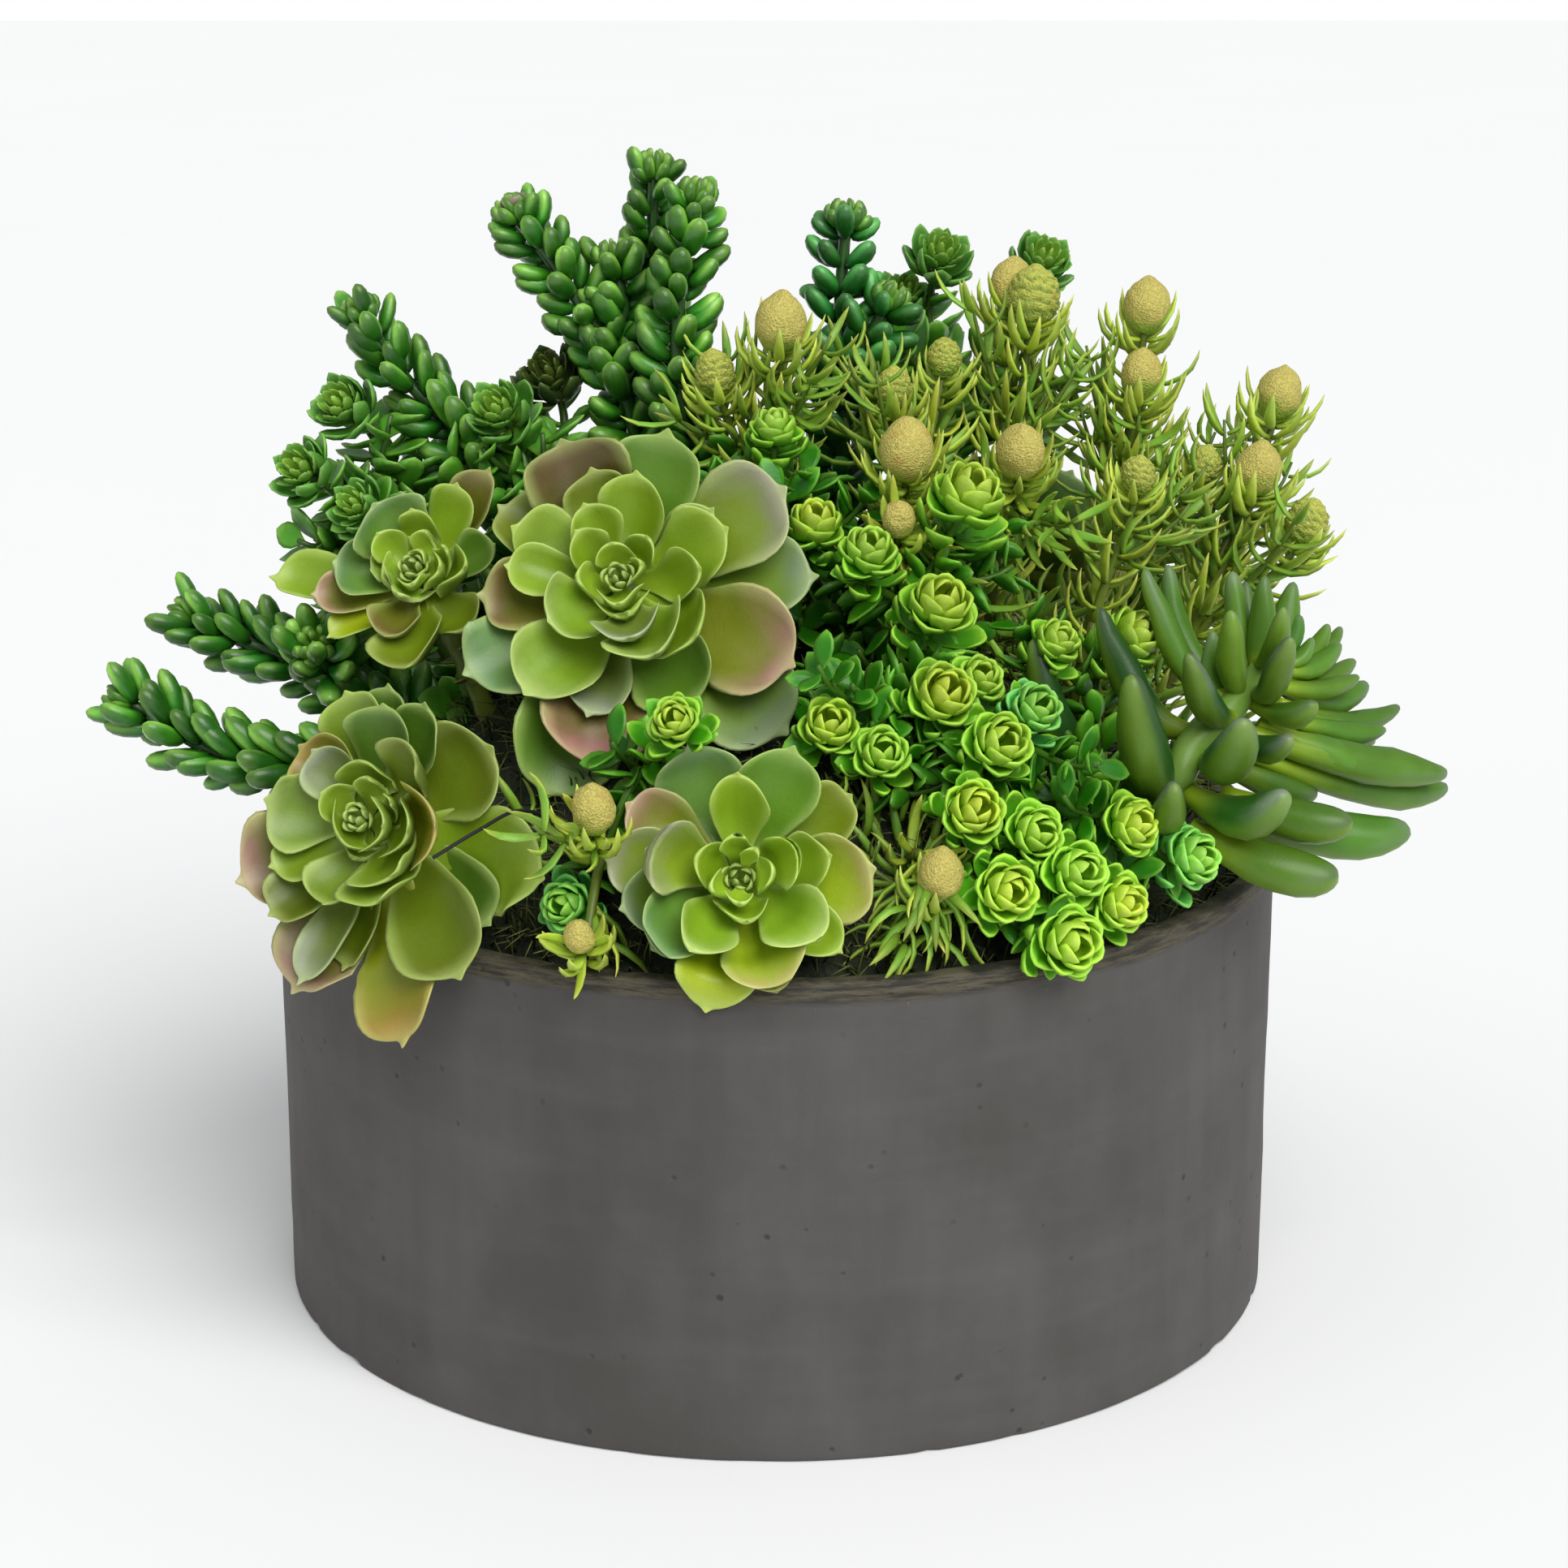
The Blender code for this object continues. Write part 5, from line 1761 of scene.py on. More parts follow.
@dataclass(frozen=True)
class NeedleSprig(Sprig):
    """A sprig of narrow arching leaves whose branches end in granular buds."""

    kind: ClassVar[SprigKind] = SprigKind(
        ("needle", "bud"), "needle_leaves", NEEDLE, NEEDLE_STEM_LEAVES, NEEDLE_SHOOT_LEAVES, (26, 44),
        Stem(1.9, 1.9, paint(84, 92, 28)), Stem(1.6, 1.2, paint(98, 118, 32)),
        Stem(1.3, 0.5, paint(96, 124, 36), 6), bare=1,
    )
    ochre: ClassVar[Colour] = paint(187, 175, 90)
    lime: ClassVar[Colour] = paint(172, 184, 70)
    green: ClassVar[Colour] = paint(132, 164, 52)

    shoots: int = 3
    carpet: int = 4
    forward: float = 1.8

    def facing(self, head: Head) -> Array:
        """The way a bud points: on from its branch, and upwards."""
        return unit(np.array(head.place) - self.hub() + UP * 60)

    def bud_skin(self, head: Head, seed: float) -> tuple[Array, Array]:
        """The bud: an egg round its axis, R (sin t)^0.9 out and -1.16 R cos t along, with a nib.

        Random lumps make it granular. A rare one is ridged in rows: the radius rises along
        each row and drops back at its end, and neighbouring scales are half a row apart.

        Args:
            head: Its place, size and sort.
            seed: Shifts the lumps.

        Returns:
            Points and marks, as for one leaf.
        """
        rows, sides = (34, 30) if head.rare else (24, 24)
        turn = np.linspace(0.1, math.pi - 0.06, rows)[:, None]
        angle = (np.arange(sides) * math.tau / sides)[None, :]
        axis = self.facing(head)
        first = unit(np.cross(axis, UP + RIGHT * 0.3))
        second = np.cross(first, axis)
        out = first * np.cos(angle)[..., None] + second * np.sin(angle)[..., None]
        radius = head.radius * np.ones((rows, sides))
        ridge = np.ones((rows, sides))
        if head.rare:
            step = turn / math.pi * 8 + 0.5 * np.abs(np.sin(angle * 4.5))
            ridge = step - np.floor(step)
            radius = radius * (1 + 0.14 * ridge * np.sin(turn)) * 0.94
        points = np.array(head.place) + out * (radius * np.sin(turn) ** 0.9)[..., None]
        points = points - axis * (radius * 1.16 * np.cos(turn))[..., None]
        nib = np.exp(-(((turn - math.pi) / 0.28) ** 2)) * head.radius * 0.16
        points = points + axis * nib[..., None]
        grit = lumps(points, 1.5, seed) * 0.3 + lumps(points, 4.5, seed + 3) * 0.5
        points = points + unit(points - np.array(head.place)) * grit[..., None]
        marks = np.zeros((1, rows, sides, 4))
        marks[..., 0] = turn / math.pi
        marks[..., 1] = 1 - ridge
        return points[None], marks

    def crown(self, head: Head, rng: np.random.Generator) -> Blades:
        """The needles that stand round a bud.

        Args:
            head: The bud.
            rng: Random source.

        Returns:
            The needles.
        """
        facing = self.facing(head)
        ring = Foliage(
            4.4, 2.0 * head.radius + 8, 3.6, 1.9, 4, 88, paint(182, 210, 66), paint(192, 200, 90),
            strength=0.7, cup=0.35, shrink=0.0, girth=1.4, per_whorl=5,
        )
        neck = np.array(head.place) - facing * head.radius * 1.4
        return ring.along(np.linspace(neck - facing * 6, neck + facing, 5), rng)

    def add_head(self, skin: Skin, index: int, shop: Workshop, rng: np.random.Generator) -> None:
        """Adds one bud and the needles round it.

        Args:
            skin: The piece.
            index: Which head.
            shop: The room that the needles leave free.
            rng: Random source.
        """
        head = self.heads[index]
        skin.leaves(shop.keep_out.clear(self.crown(head, rng)), NEEDLE)
        points, marks = self.bud_skin(head, self.seed + 7.0 * index)
        flush = blend(self.ochre, self.lime, 0.7) if head.rare else self.ochre
        skin.add(points, marks, np.array([self.green]), np.array([flush]), 1)


# Tip, base and width of each finger
FINGERS = (
    (108, -66, 247, 133, -74, 210, 8.5), (116, -48, 244, 129, -60, 211, 7.3),
    (94, -72, 236, 121, -80, 201, 9.8), (101, -108, 224, 113, -92, 185, 14.3),
    (74, -74, 227, 91, -78, 189, 10.7), (118, -98, 228, 135, -78, 205, 9.6),
    (131, -84, 238, 136, -72, 212, 8.0), (136, -52, 243, 140, -60, 215, 8.2),
    (141, -40, 237, 144, -56, 215, 6.4), (145, -58, 243, 142, -64, 216, 7.4),
    (157, -34, 235, 147, -52, 218, 7.9), (147, -84, 239, 143, -66, 219, 7.2),
    (148, -92, 232, 142, -72, 210, 8.1), (158, -42, 226, 150, -54, 217, 5.5),
    (161, -50, 221, 152, -56, 214, 5.5), (168, -34, 221, 156, -48, 213, 5.6),
    (174, -26, 219, 158, -44, 211, 5.4), (171, -40, 217, 149, -58, 212, 7.4),
    (178, -32, 209, 147, -58, 209, 6.7), (177, -44, 208, 147, -62, 207, 6.6),
    (182, -30, 202, 153, -56, 202, 7.3), (158, -86, 210, 141, -72, 206, 8.2),
    (192, -30, 195, 153, -60, 198, 7.3), (185, -50, 192, 149, -66, 198, 7.0),
    (193, -26, 176, 158, -50, 184, 5.9), (148, -100, 203, 136, -80, 197, 8.1),
    (133, -112, 212, 126, -84, 191, 13.0), (180, -66, 185, 146, -74, 196, 9.1),
    (203, -56, 180, 140, -78, 195, 10.9), (206, -44, 172, 146, -74, 182, 9.8),
    (145, -118, 191, 121, -88, 181, 13.0), (112, -118, 195, 111, -96, 176, 9.7),
    (167, -98, 177, 137, -86, 178, 12.4), (188, -76, 168, 134, -86, 173, 14.6),
    (163, -104, 162, 123, -94, 166, 14.4), (170, -52, 186, 138, -70, 192, 8.6),
    (162, -66, 176, 132, -76, 184, 9.4), (184, -40, 186, 146, -62, 200, 8.0),
    (128, -70, 228, 128, -74, 196, 7.4),
)


@dataclass(frozen=True)
class FingerSucculent:
    """The plant of fleshy curved fingers, grey-violet at their tips, on a leaning stem."""

    name: str
    root: tuple[float, float]
    spine: tuple[Triple, ...]
    rows: tuple[tuple[float, ...], ...]
    seed: int = 61
    sag: float = 0.2
    girth: float = 1.12

    def blades(self, rng: np.random.Generator) -> Blades:
        """Fingers from the table rows; each sags a little between its ends.

        The high ones at the left and in front are darker and bluer: painted shade.

        Args:
            rng: Random source.

        Returns:
            The fingers.
        """
        numbers = np.array(self.rows, float)
        tip, base, width = numbers[:, :3], numbers[:, 3:6], numbers[:, 6] * self.girth
        spine = curve_through([rooted(self.root), *self.spine], 60)
        near = spine[np.argmin(np.linalg.norm(spine[None] - base[:, None], axis=2), axis=1)]
        chord, count = tip - base, len(numbers)
        level = np.linalg.norm(chord[:, :2], axis=1, keepdims=True)
        sag = self.sag * level * rng.uniform(0.8, 1.2, (count, 1))
        bend = base + chord * np.array((0.62, 0.62, 0.1)) - UP * sag
        body, flush = coloured(rng, count, paint(80, 124, 30), paint(112, 122, 104), 1.0, 0.16)
        # Painted shade: darker, bluer bodies for the high fingers at the left and in front, and darker tips
        # at the left
        left = (tip[:, 0] < 105) & (tip[:, 2] > 180)
        shaded = left | ((tip[:, 1] < -90) & (tip[:, 0] < 170) & (tip[:, 2] > 180))
        body[shaded, :3] *= np.array((0.2, 0.38, 0.55))
        flush[left, :3] *= 0.5
        return Blades(
            near * 0.35 + base * 0.65, bend, tip, np.tile(UP + RIGHT * 0.05, (count, 1)), width,
            width * rng.uniform(0.86, 0.98, count), np.full(count, 0.05), body, flush,
            rng.normal(0, 0.2, count),
        )

    def build(self, shop: Workshop) -> None:
        """Builds it as one piece: stem and fingers.

        Args:
            shop: Its finishes.
        """
        rng = np.random.default_rng(self.seed)
        skin = Skin(f"{self.name}_skin", [shop.finish["finger"]])
        path = grown(self.root, self.spine, 40)
        radii = np.interp(np.linspace(0, 1, len(path)), (0, 0.25, 0.8, 1), (4.0, 5.2, 4.6, 2.8))
        skin.tube(path, radii, paint(112, 150, 56), 16)
        skin.leaves(self.blades(rng), FINGER, uneven=1.0)
        skin.build(self.name, "finger_leaves")


@dataclass(frozen=True)
class Wire:
    """The thin black wire beside the left rosette."""

    name: str
    root: tuple[float, float]
    points: tuple[Triple, ...]
    stem: Stem = Stem(0.55, 0.55, paint(16, 16, 16), 10)

    def build(self, shop: Workshop) -> None:
        """Builds it as one piece.

        Args:
            shop: Its finishes.
        """
        skin = Skin(f"{self.name}_skin", [shop.finish["wire"]])
        skin.stem(grown(self.root, self.points, 40), self.stem)
        skin.build(self.name, "wire")


@dataclass(frozen=True)
class Bowl:
    """The bowl: a straight thin wall on a flat floor, its rim and foot slightly chipped."""

    name: str = "bowl"
    sides: int = 288
    edge: float = 1.6

    def profile(self) -> Array:
        """Radius and height from the middle of the floor, over the rim, to the middle of the foot.

        The rim's two edges and the foot's edge are quarter circles.

        Returns:
            One row of radius and height a point.
        """
        inside = BOWL_RADIUS - BOWL_WALL
        quarter = np.linspace(0, math.pi / 2, 5)
        sine, cosine = self.edge * (1 - np.sin(quarter)), self.edge * (1 - np.cos(quarter))
        parts = (
            [(24, BOWL_FLOOR), (110, BOWL_FLOOR), (inside - 3, BOWL_FLOOR), (inside, BOWL_FLOOR + 3)],
            [(inside, height) for height in np.linspace(40, BOWL_HEIGHT - 8, 5)],
            zip(inside + cosine, BOWL_HEIGHT - sine),
            [(inside + BOWL_WALL / 2, BOWL_HEIGHT)],
            zip(BOWL_RADIUS - sine, BOWL_HEIGHT - cosine),
            [(BOWL_RADIUS, height) for height in np.linspace(BOWL_HEIGHT - 4, 5, 44)],
            zip(BOWL_RADIUS - cosine, sine),
            [(140, 0), (24, 0)],
        )
        return np.array([row for part in parts for row in part], float)

    def build(self, shop: Workshop) -> None:
        """Turns the profile and wears it: the wall waves a little, and the rim and foot are chipped.

        Args:
            shop: Its finishes.
        """
        profile = self.profile()
        angle = np.arange(self.sides) * math.tau / self.sides
        radius, height = (np.repeat(column[:, None], self.sides, axis=1) for column in profile.T)
        place = about_axis(radius, height, angle)
        wall = (radius > 140) & (height > 0.5)
        radius = radius + wall * (lumps(place, 34, 1) * 0.35 + lumps(place, 9, 2) * 0.14)
        top = np.clip((height - BOWL_HEIGHT + 6) / 6, 0, 1)
        chips = np.clip(lumps(place, 7, 5) - 0.35, 0, 1) * 1.6 + np.abs(lumps(place, 3, 9)) * 0.35
        height = height - top * chips
        foot = np.clip((4 - height) / 4, 0, 1) * (radius > 150)
        radius = radius - foot * np.clip(lumps(place, 9, 11) - 0.45, 0, 1) * 3.0
        skin = Skin(f"{self.name}_skin", [shop.finish["cement"]])
        skin.add_plain(about_axis(radius, height, angle))
        skin.build(self.name, "fibre_cement")


@dataclass(frozen=True)
class MossBed:
    """The dome of dark moss, partly painted shade, between the plants, with strands standing on it."""

    name: str = "moss_bed"
    sides: int = 160
    rings: int = 56
    strands: int = 5200

    def dome(self) -> Array:
        """The lumpy dome, closed underneath: out over the top and back below.

        Returns:
            Its points by ring and side.
        """
        angle = np.arange(self.sides) * math.tau / self.sides
        rise = np.linspace(3, BED_RADIUS, self.rings)
        radii = np.concatenate((rise, rise[::-1]))
        under = np.concatenate((np.zeros(self.rings), np.full(self.rings, MOSS_THICKNESS)))
        radius = np.repeat(radii[:, None], self.sides, axis=1)
        height = np.repeat((moss_height(radii) - under)[:, None], self.sides, axis=1)
        place = about_axis(radius, height, angle)
        rough = lumps(place, 11, 3) * 1.7 + lumps(place, 4.5, 4) * 1.0
        place[..., 2] += rough * (under[:, None] == 0)
        return place

    def strand_blades(self, rng: np.random.Generator) -> Blades:
        """Strands that stand on the dome, each leaning its own way.

        Args:
            rng: Random source.

        Returns:
            The strands.
        """
        count = self.strands
        reach = BED_RADIUS * 0.985 * np.sqrt(rng.uniform(0, 1, count))
        base = about_axis(reach, moss_height(reach) - 1.0, rng.uniform(0, math.tau, count))
        away = unit(base * np.array((1.0, 1.0, 0.0)))
        lean = unit(rng.normal(0, 1, (count, 3)) * np.array((1.0, 1.0, 0.4)) + UP * 0.7 + away * 0.5)
        length = rng.uniform(7, 17, (count, 1))
        tip = base + lean * length + rng.normal(0, 1.2, (count, 3))
        bend = base + UP * length * 0.5 + lean * length * 0.2
        body, flush = coloured(rng, count, paint(84, 96, 42), paint(134, 132, 76), 0.8, 0.3)
        return Blades(
            base, bend, tip, np.tile(RIGHT, (count, 1)), np.full(count, 0.9), np.full(count, 0.8),
            np.zeros(count), body, flush, np.zeros(count),
        )

    def build(self, shop: Workshop) -> None:
        """Builds the dome and its strands as one piece.

        Args:
            shop: Its finishes.
        """
        skin = Skin(f"{self.name}_skin", [shop.finish["moss"], shop.finish["strand"]])
        skin.add_plain(self.dome())
        skin.leaves(self.strand_blades(np.random.default_rng(7)), STRAND, 1)
        skin.build(self.name, "moss")


@dataclass(frozen=True)
class Studio:
    """A pale floor, soft light and the camera at the photograph's angle."""

    floor_size: float = 12.0
    lens_sensor: float = 36.0

    def floor(self) -> None:
        """A large pale floor under the bowl."""
        half = self.floor_size / 2
        corners = [(-half, -half, 0), (half, -half, 0), (half, half, 0), (-half, half, 0)]
        mesh = bpy.data.meshes.new("studio_floor")
        mesh.from_pydata(corners, [], [(0, 1, 2, 3)])
        floor = bpy.data.objects.new("studio_floor", mesh)
        bpy.context.scene.collection.objects.link(floor)
        shader = Shader("pale_floor")
        cloud = shader.noise(shader.place(), 3)
        colour = shader.mix(cloud, (0.9, 0.9, 0.9, 1.0), (0.92, 0.92, 0.92, 1.0))
        mesh.materials.append(shader.surface({"Base Color": colour, "Roughness": 0.7}))

    def sun(self, name: str, toward: Triple, strength: float, spread: float) -> None:
        """One soft light from far away.

        Args:
            name: The light's name.
            toward: The way to the light.
            strength: Its strength.
            spread: The angle that it fills, in radians.
        """
        data = bpy.data.lights.new(name, "SUN")
        data.energy, data.angle = strength, spread
        lamp = bpy.data.objects.new(name, data)
        back = unit(np.array(toward, float))
        side = unit(np.cross(UP, back))
        up = np.cross(back, side)
        lamp.rotation_euler = Matrix(np.stack((side, up, back), axis=1).tolist()).to_euler()
        bpy.context.scene.collection.objects.link(lamp)

    def surroundings(self) -> bpy.types.World:
        """A white backdrop that lights the object more weakly than it looks.

        Returns:
            The world.
        """
        world = bpy.data.worlds.new("studio")
        world.use_nodes = True
        tree = world.node_tree
        sky = tree.nodes["Background"]
        seen = tree.nodes.new("ShaderNodeBackground")
        seen.inputs["Color"].default_value = (1, 1, 1, 1)
        sky.inputs["Color"].default_value = (0.97, 0.985, 1, 1)
        sky.inputs["Strength"].default_value = 0.42
        ray, mix = tree.nodes.new("ShaderNodeLightPath"), tree.nodes.new("ShaderNodeMixShader")
        tree.links.new(ray.outputs["Is Camera Ray"], mix.inputs[0])
        tree.links.new(sky.outputs[0], mix.inputs[1])
        tree.links.new(seen.outputs[0], mix.inputs[2])
        tree.links.new(mix.outputs[0], tree.nodes["World Output"].inputs["Surface"])
        return world

    def camera(self) -> None:
        """The camera of the photograph: its place, pitch and lens."""
        data = bpy.data.cameras.new("camera")
        data.sensor_width = self.lens_sensor
        data.lens = FOCAL_PIXELS / IMAGE_SIZE * self.lens_sensor
        data.clip_end = 50
        camera = bpy.data.objects.new("camera", data)
        camera.location = CAMERA_PLACE * MM
        camera.rotation_euler = (math.pi / 2 - CAMERA_PITCH, 0, -CAMERA_YAW)
        bpy.context.scene.collection.objects.link(camera)
        bpy.context.scene.camera = camera

    def build(self) -> None:
        """Sets the floor, the lights, the surroundings and the camera."""
        scene = bpy.context.scene
        self.floor()
        self.sun("key", (0.5, -1.0, 1.15), 2.8, 0.8)
        self.sun("fill", (-1.0, -0.7, 1.2), 0.22, 1.0)
        scene.world = self.surroundings()
        scene.view_settings.view_transform = "Standard"
        scene.view_settings.look = "None"
        self.camera()


def finishes() -> dict[str, bpy.types.Material]:
    """Makes every material of the bowl and the planting.

    Returns:
        The materials, by a short name.
    """
    # Painted shade: hollow=0.16 darkens the middle of each leaf, and every finish below inherits it
    # The pale rim, rim=0.55, is partly the leaves' own pale margin, partly painted highlight
    leaf = LeafFinish("rosette_leaf", rim=0.55, root=0.35, under=0.4, soft=0.15, hollow=0.16)
    kinds = {
        "echeveria": leaf,
        "stem": replace(
            leaf, name="rosette_stem_skin", rim=0.1, mottle=0.5, under_colour_and_shade=paint(70, 74, 30),
        ),
        # Painted shade: the plump leaves turn dark green at their bases and on their undersides
        "plump": replace(
            leaf, name="plump_leaf", roughness=0.34, rim=0.0, root=0.6, root_colour_and_shade=paint(22, 78, 14),
            soft=0.0, under=0.55, under_colour_and_shade=paint(24, 70, 16), coat=0.25, mottle_scale=160, mottle=0.35,
        ),
        # Painted shade: the mini leaves turn dark green towards their bases
        "mini": replace(
            leaf, name="mini_rosette_leaf", roughness=0.36, rim=0.14, rim_colour_and_highlight=paint(190, 226, 100),
            gloss=0.3, root=0.65, root_colour_and_shade=paint(56, 124, 10), under=0.3, coat=0.06, mottle_scale=200,
            soft=0.0,
        ),
        "saw": replace(
            leaf, name="saw_edged_leaf", rim=0.2, rim_colour_and_highlight=paint(120, 160, 80), root=0.3, soft=0.0,
            under=0.3, mottle_scale=160, mottle=0.35,
        ),
        "needle": replace(
            leaf, name="needle_leaf", roughness=0.45, rim=0.15, root=0.3, root_colour_and_shade=paint(150, 164, 40),
            under=0.3, under_colour_and_shade=paint(84, 112, 24), mottle_scale=220, mottle=0.5, soft=0.0,
        ),
        "finger": replace(
            leaf, name="finger_leaf", tip_from=0.72, rim=0.0, root=0.85, gloss=0.3, soft=0.0,
            root_colour_and_shade=paint(150, 178, 32), under=0.5, under_colour_and_shade=paint(124, 158, 40), mottle=0.35,
        ),
        "strand": replace(leaf, name="moss_strand", roughness=0.8, rim=0.0, root=0.0, coat=0.0, soft=0.0),
        "bud": BudFinish(),
        "cement": CementFinish(),
        # The moss's near-black is partly its own colour, partly painted shade in the gaps between the plants
        "moss": FibreFinish("dark_moss_and_shade", paint(12, 16, 8), paint(44, 54, 24), 70),
        "foam": FibreFinish("floral_foam", paint(24, 44, 26), paint(44, 70, 42), 120),
        "wire": SatinFinish("black_wire", paint(10, 10, 10)),
    }
    return {name: kind.material() for name, kind in kinds.items()}


ROSETTES = (
    Echeveria(
        "center_echeveria", (-42, -40), (-49, -72, 245), (-0.12, -0.86, 0.50), CENTER_LEAVES, (15, 36), 11,
        tone=1.14,
    ),
    Echeveria(
        "front_echeveria", (-12, -92), (-13, -145, 174), (0.02, -0.93, 0.36), FRONT_LEAVES, (14, 32), 12,
        tone=1.36,
    ),
    Echeveria(
        "left_echeveria", (-92, -84), (-123, -118, 184), (-0.42, -0.83, 0.36), LEFT_LEAVES, (15, 31), 13,
        tone=0.86,
    ),
    Echeveria(
        "upper_left_echeveria", (-92, -26), (-113.5, -40, 241), (-0.20, -0.80, 0.56), UPPER_LEFT_LEAVES,
        (15, 27), 14, tone=1.16,
    ),
    Echeveria(
        "back_right_echeveria", (62, 76), (86, 108, 216), (0.48, 0.74, 0.46),
        spiral_rows(30, 50, BACK_TINTS, 12), (17, 33), 15, False,
    ),
    Echeveria(
        "back_left_echeveria", (-62, 78), (-80, 112, 206), (-0.45, 0.78, 0.42),
        spiral_rows(28, 46, BACK_TINTS, 24), (16, 31), 16, False,
    ),
)

DARK_TAIL = replace(
    TAIL_LEAVES, body=paint(28, 112, 36), tip=paint(90, 160, 80), length=14.5, spacing=9.0, per_whorl=5,
    rise_at_tip=44,
)
LEFT_TAIL = replace(
    TAIL_LEAVES, spacing=4.8, length=16.6, width=7.6, thick=6.8, rise_at_base=34, rise_at_tip=66,
    shrink=0.2, lift=0.14,
)
TAILS = (
    PlumpTail(
        "left_low_tail", (-110, -56),
        ((-118, -54, 182), (-142, -50, 180), (-172, -45, 182), (-205, -40, 200)), 21, leaves=LEFT_TAIL,
    ),
    PlumpTail(
        "left_high_tail", (-116, -14),
        ((-124, -12, 190), (-146, -8, 200), (-170, -3, 208), (-192, 0, 216)), 22,
        ((-144, -18, 205), (-146, -30, 214)), LEFT_TAIL,
    ),
    PlumpTail(
        "upper_left_tail", (-80, 14),
        ((-84, 13, 240), (-98, 12, 268), (-119, 15, 289), (-134, 15, 312)), 23, leaves=LEFT_TAIL,
    ),
    PlumpTail(
        "tall_left_tail", (-44, 22), ((-46, 21, 262), (-54, 22, 292), (-69, 25, 319), (-86, 25, 342)), 24,
        ((-51, 23, 308), (-54, 25, 328)), cut=True,
    ),
    PlumpTail(
        "tall_back_tail", (-34, 50), ((-38, 46, 262), (-42, 40, 300), (-42, 36, 332), (-41, 35, 355)), 25,
    ),
    PlumpTail(
        "tall_front_tail", (-18, 6), ((-24, 4, 256), (-33, 4, 290), (-32, 8, 322), (-27, 10, 349)), 26,
    ),
    PlumpTail(
        "top_right_tail", (16, 20), ((18, 19, 256), (19, 18, 280), (18, 25, 311), (20, 30, 340)), 27,
        ((24, 18, 296), (34, 20, 315)), DARK_TAIL,
    ),
    PlumpTail("back_tail", (4, 70), ((4, 84, 224), (0, 120, 232), (-4, 154, 222), (-8, 180, 202)), 28),
)


def heads(*rows: tuple[float, ...]) -> tuple[Head, ...]:
    """Heads from rows of x, y, z, radius and, for one of the rarer sort, a 1."""
    return tuple(Head(row[:3], row[3], len(row) > 4) for row in rows)


MINI_SPRIGS = (
    MiniSprig("middle_mini_sprig", (4, -30), heads((-3, -40, 284, 8), (9, -56, 258, 9.5)), 31, 5, 8),
    MiniSprig(
        "high_mini_sprig", (36, -52), heads((55, -62, 268, 12), (25, -76, 254, 9), (46, -86, 240, 11)), 32,
    ),
    MiniSprig(
        "side_mini_sprig", (26, -84),
        heads((46, -110, 219, 10.5), (57, -100, 221, 8), (13, -112, 210, 9), (28, -116, 203, 8.5)),
        33, 3, 10,
    ),
    MiniSprig(
        "low_mini_sprig", (56, -88),
        heads((62, -120, 207, 10), (73, -108, 214, 8.5), (54, -134, 191, 9.5), (72, -130, 183, 9)),
        34, 2, 9,
    ),
    MiniSprig(
        "rim_mini_sprig", (70, -110),
        heads((84, -135, 173, 9.5), (63, -146, 171, 9.5), (97, -130, 162, 9), (81, -150, 157, 10.5)),
        35, 3, 9,
    ),
    MiniSprig(
        "right_mini_sprig", (92, -92),
        heads((101, -114, 181, 9.5), (120, -108, 169, 9.5), (105, -64, 225, 10), (81, -74, 226, 8)), 36,
    ),
    MiniSprig("left_mini_sprig", (-34, -92), heads((-31, -136, 218, 7.5), (-63, -134, 163, 8)), 37, 0, 2),
    MiniSprig(
        "back_left_mini_sprig", (-30, 96),
        heads((-34, 130, 182, 10), (-18, 142, 170, 9), (-44, 150, 158, 10)), 38, 4, 12,
    ),
    MiniSprig(
        "back_mini_sprig", (20, 92),
        heads((2, 132, 186, 10), (28, 136, 178, 9.5), (14, 118, 200, 9), (48, 140, 172, 10)), 39, 4, 12,
    ),
)

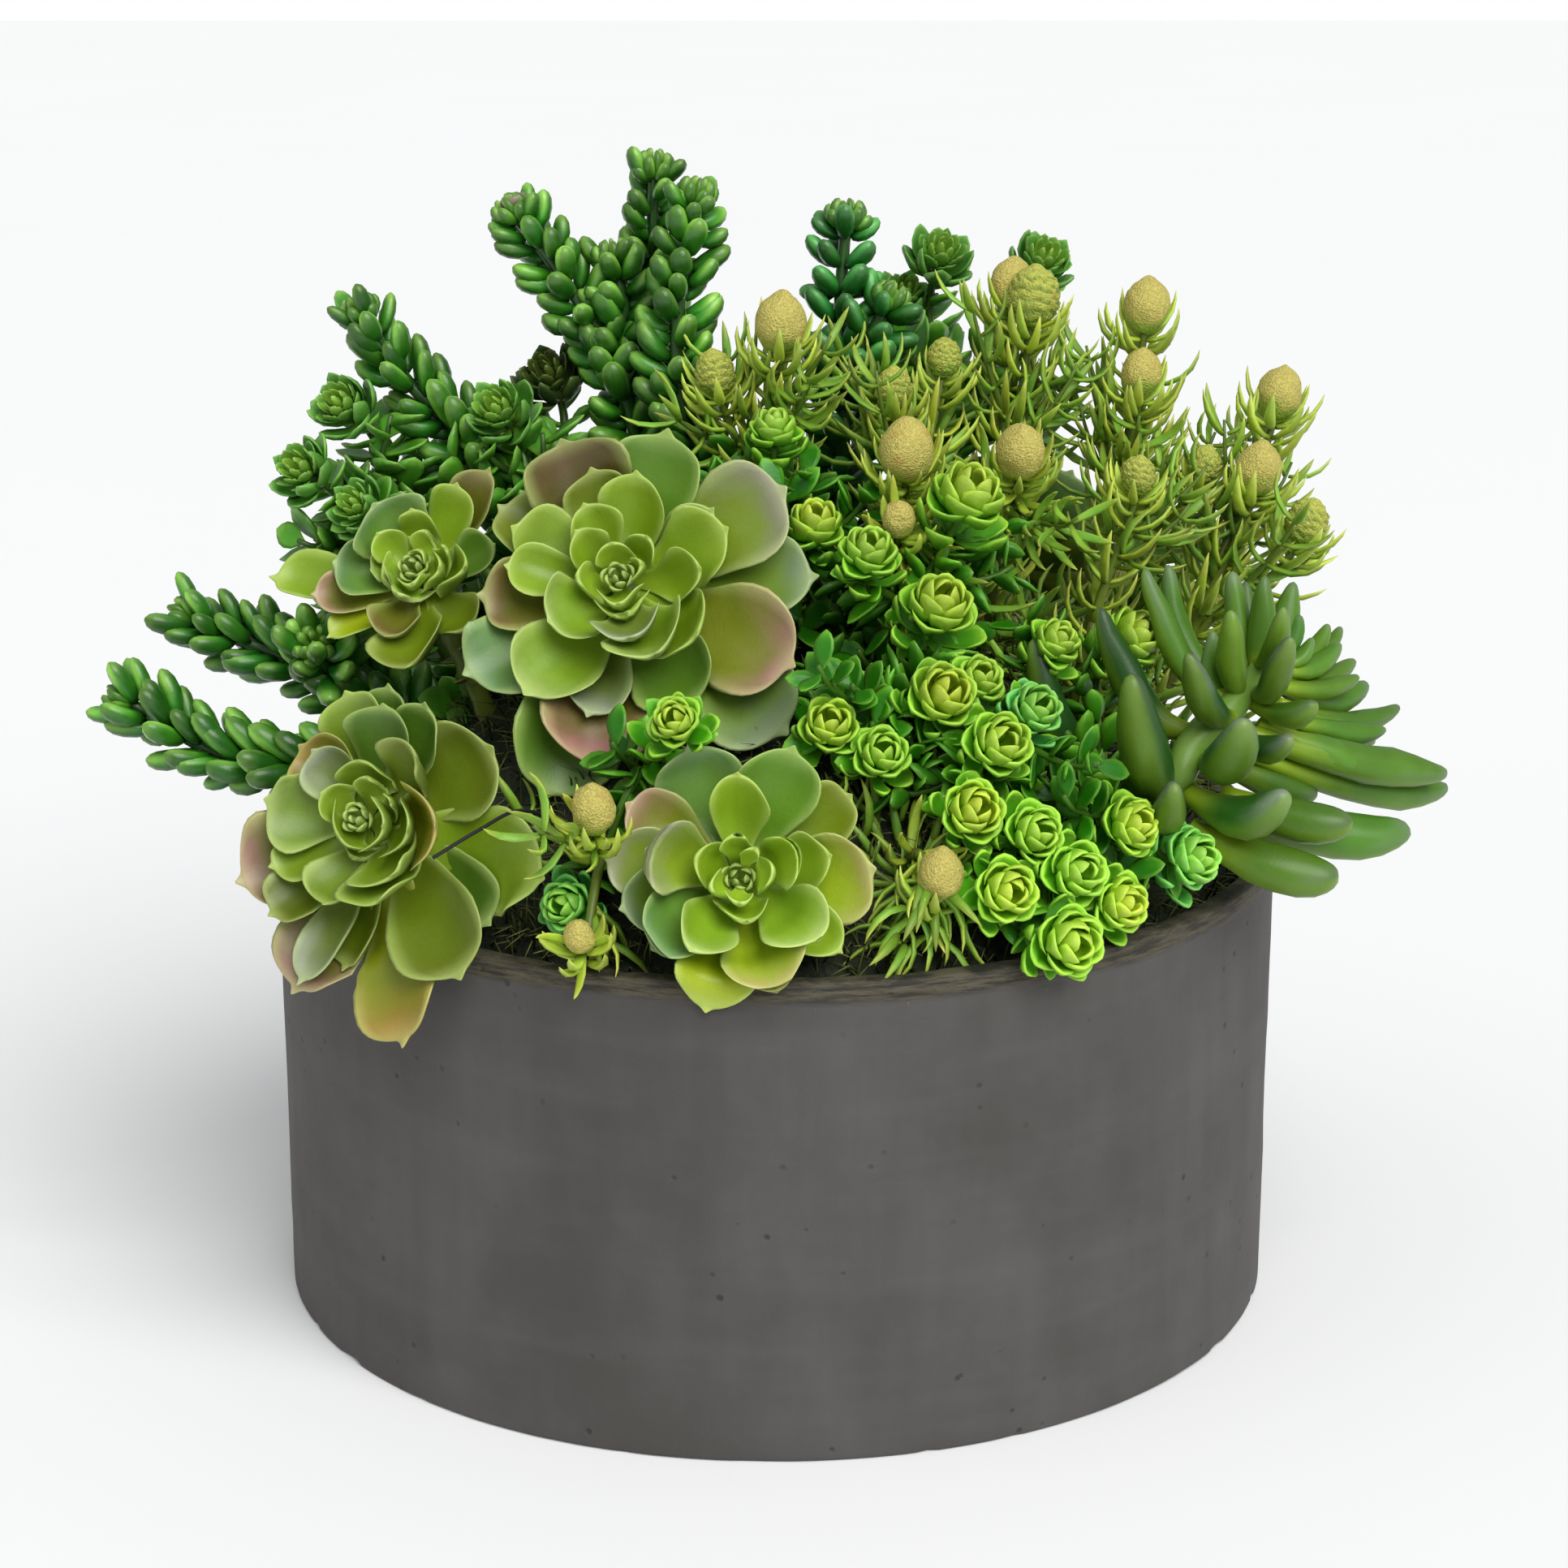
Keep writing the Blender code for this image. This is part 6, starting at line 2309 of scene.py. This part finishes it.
NEEDLE_SPRIGS = (
    NeedleSprig("top_needle_sprig", (-2, -8), heads((-1, -20, 313, 7.8), (-21, -16, 297, 6.2, 1)), 41),
    NeedleSprig(
        "inner_needle_sprig", (36, -16),
        heads((50, 0, 299, 5.4, 1), (34, -12, 291, 6, 1), (37, -45, 278, 8.4), (34, -64, 261, 5)), 42,
    ),
    NeedleSprig(
        "tall_needle_sprig", (66, 4), heads((78, 8, 317, 8.4, 1), (72, 14, 320, 7), (72, -36, 276, 7.6)), 43,
    ),
    NeedleSprig(
        "high_right_needle_sprig", (96, 10),
        heads((114, 10, 314, 7.2), (112, 2, 294, 6.4), (132, -4, 266, 5.4, 1)), 44,
    ),
    NeedleSprig(
        "far_right_needle_sprig", (116, -16),
        heads((156, 5, 287, 7), (148, -12, 266, 7.2), (163, -16, 250, 6.6, 1)), 45,
    ),
    NeedleSprig("right_needle_sprig", (91, -30), heads((109, -27, 267, 5.4, 1),), 46),
    NeedleSprig(
        "front_needle_sprig", (-50, -116), heads((-54, -143, 194, 6.4), (-58, -154, 160, 4.5)), 47, 2, 3,
    ),
    NeedleSprig("rim_needle_sprig", (36, -120), heads((44, -143, 175, 6.6),), 48, 12, 16),
    NeedleSprig(
        "back_needle_sprig", (100, 52),
        heads((130, 70, 226, 7), (118, 84, 206, 6.5), (144, 48, 212, 6.5, 1)), 49, 4, 9,
    ),
)

SAW_SPRIGS = (
    SawSprig(
        "left_saw_sprig", (-106, 14),
        heads((-140, 6, 284, 9.5), (-152, -8, 266, 9), (-134, -16, 256, 8)), 51, 4,
    ),
    SawSprig("inner_saw_sprig", (-72, -12), heads((-90, -2, 284, 9.5), (-76, 26, 290, 10, 1)), 52, 5),
    SawSprig(
        "top_saw_sprig", (52, 36), heads((51, 50, 326, 9.5), (40, 58, 312, 8), (84, 42, 325, 9.5)), 53,
    ),
    SawSprig(
        "back_saw_sprig", (-108, 48),
        heads((-136, 70, 212, 9.5), (-150, 44, 214, 9), (-118, 96, 190, 9)), 54, 4, 10, turned=0.0,
    ),
)

FINGER_PLANT = FingerSucculent(
    "finger_succulent", (98, -62),
    ((108, -84, 184), (117, -90, 189), (121, -85, 197), (132, -78, 205), (139, -70, 211), (145, -62, 217)),
    FINGERS,
)
FRONT_WIRE = Wire(
    "front_left_wire", (-66, -104),
    ((-67, -114, 182), (-76, -132, 190.5), (-86, -146, 189), (-98, -158, 184.5)),
)


def main() -> None:
    """Builds the bowl, its bed and every plant, then the studio."""
    logging.basicConfig(level=logging.INFO, format="%(message)s")
    finish = finishes()
    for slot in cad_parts["floral_foam"].material_slots:
        slot.material = finish["foam"]
    shapes = {rosette.name: rosette.shape() for rosette in ROSETTES}
    big = [points for points, _, _ in shapes.values()]
    big.append(leaf_skins(FINGER_PLANT.blades(np.random.default_rng(FINGER_PLANT.seed)), FINGER)[0])
    sprigs = (*MINI_SPRIGS, *NEEDLE_SPRIGS, *SAW_SPRIGS)
    shop = Workshop(finish, shapes, KeepOut(big, sprigs))
    for part in (Bowl(), MossBed(), *ROSETTES, *TAILS, *sprigs, FINGER_PLANT, FRONT_WIRE):
        part.build(shop)
    Studio().build()


if __name__ == "__main__":
    main()
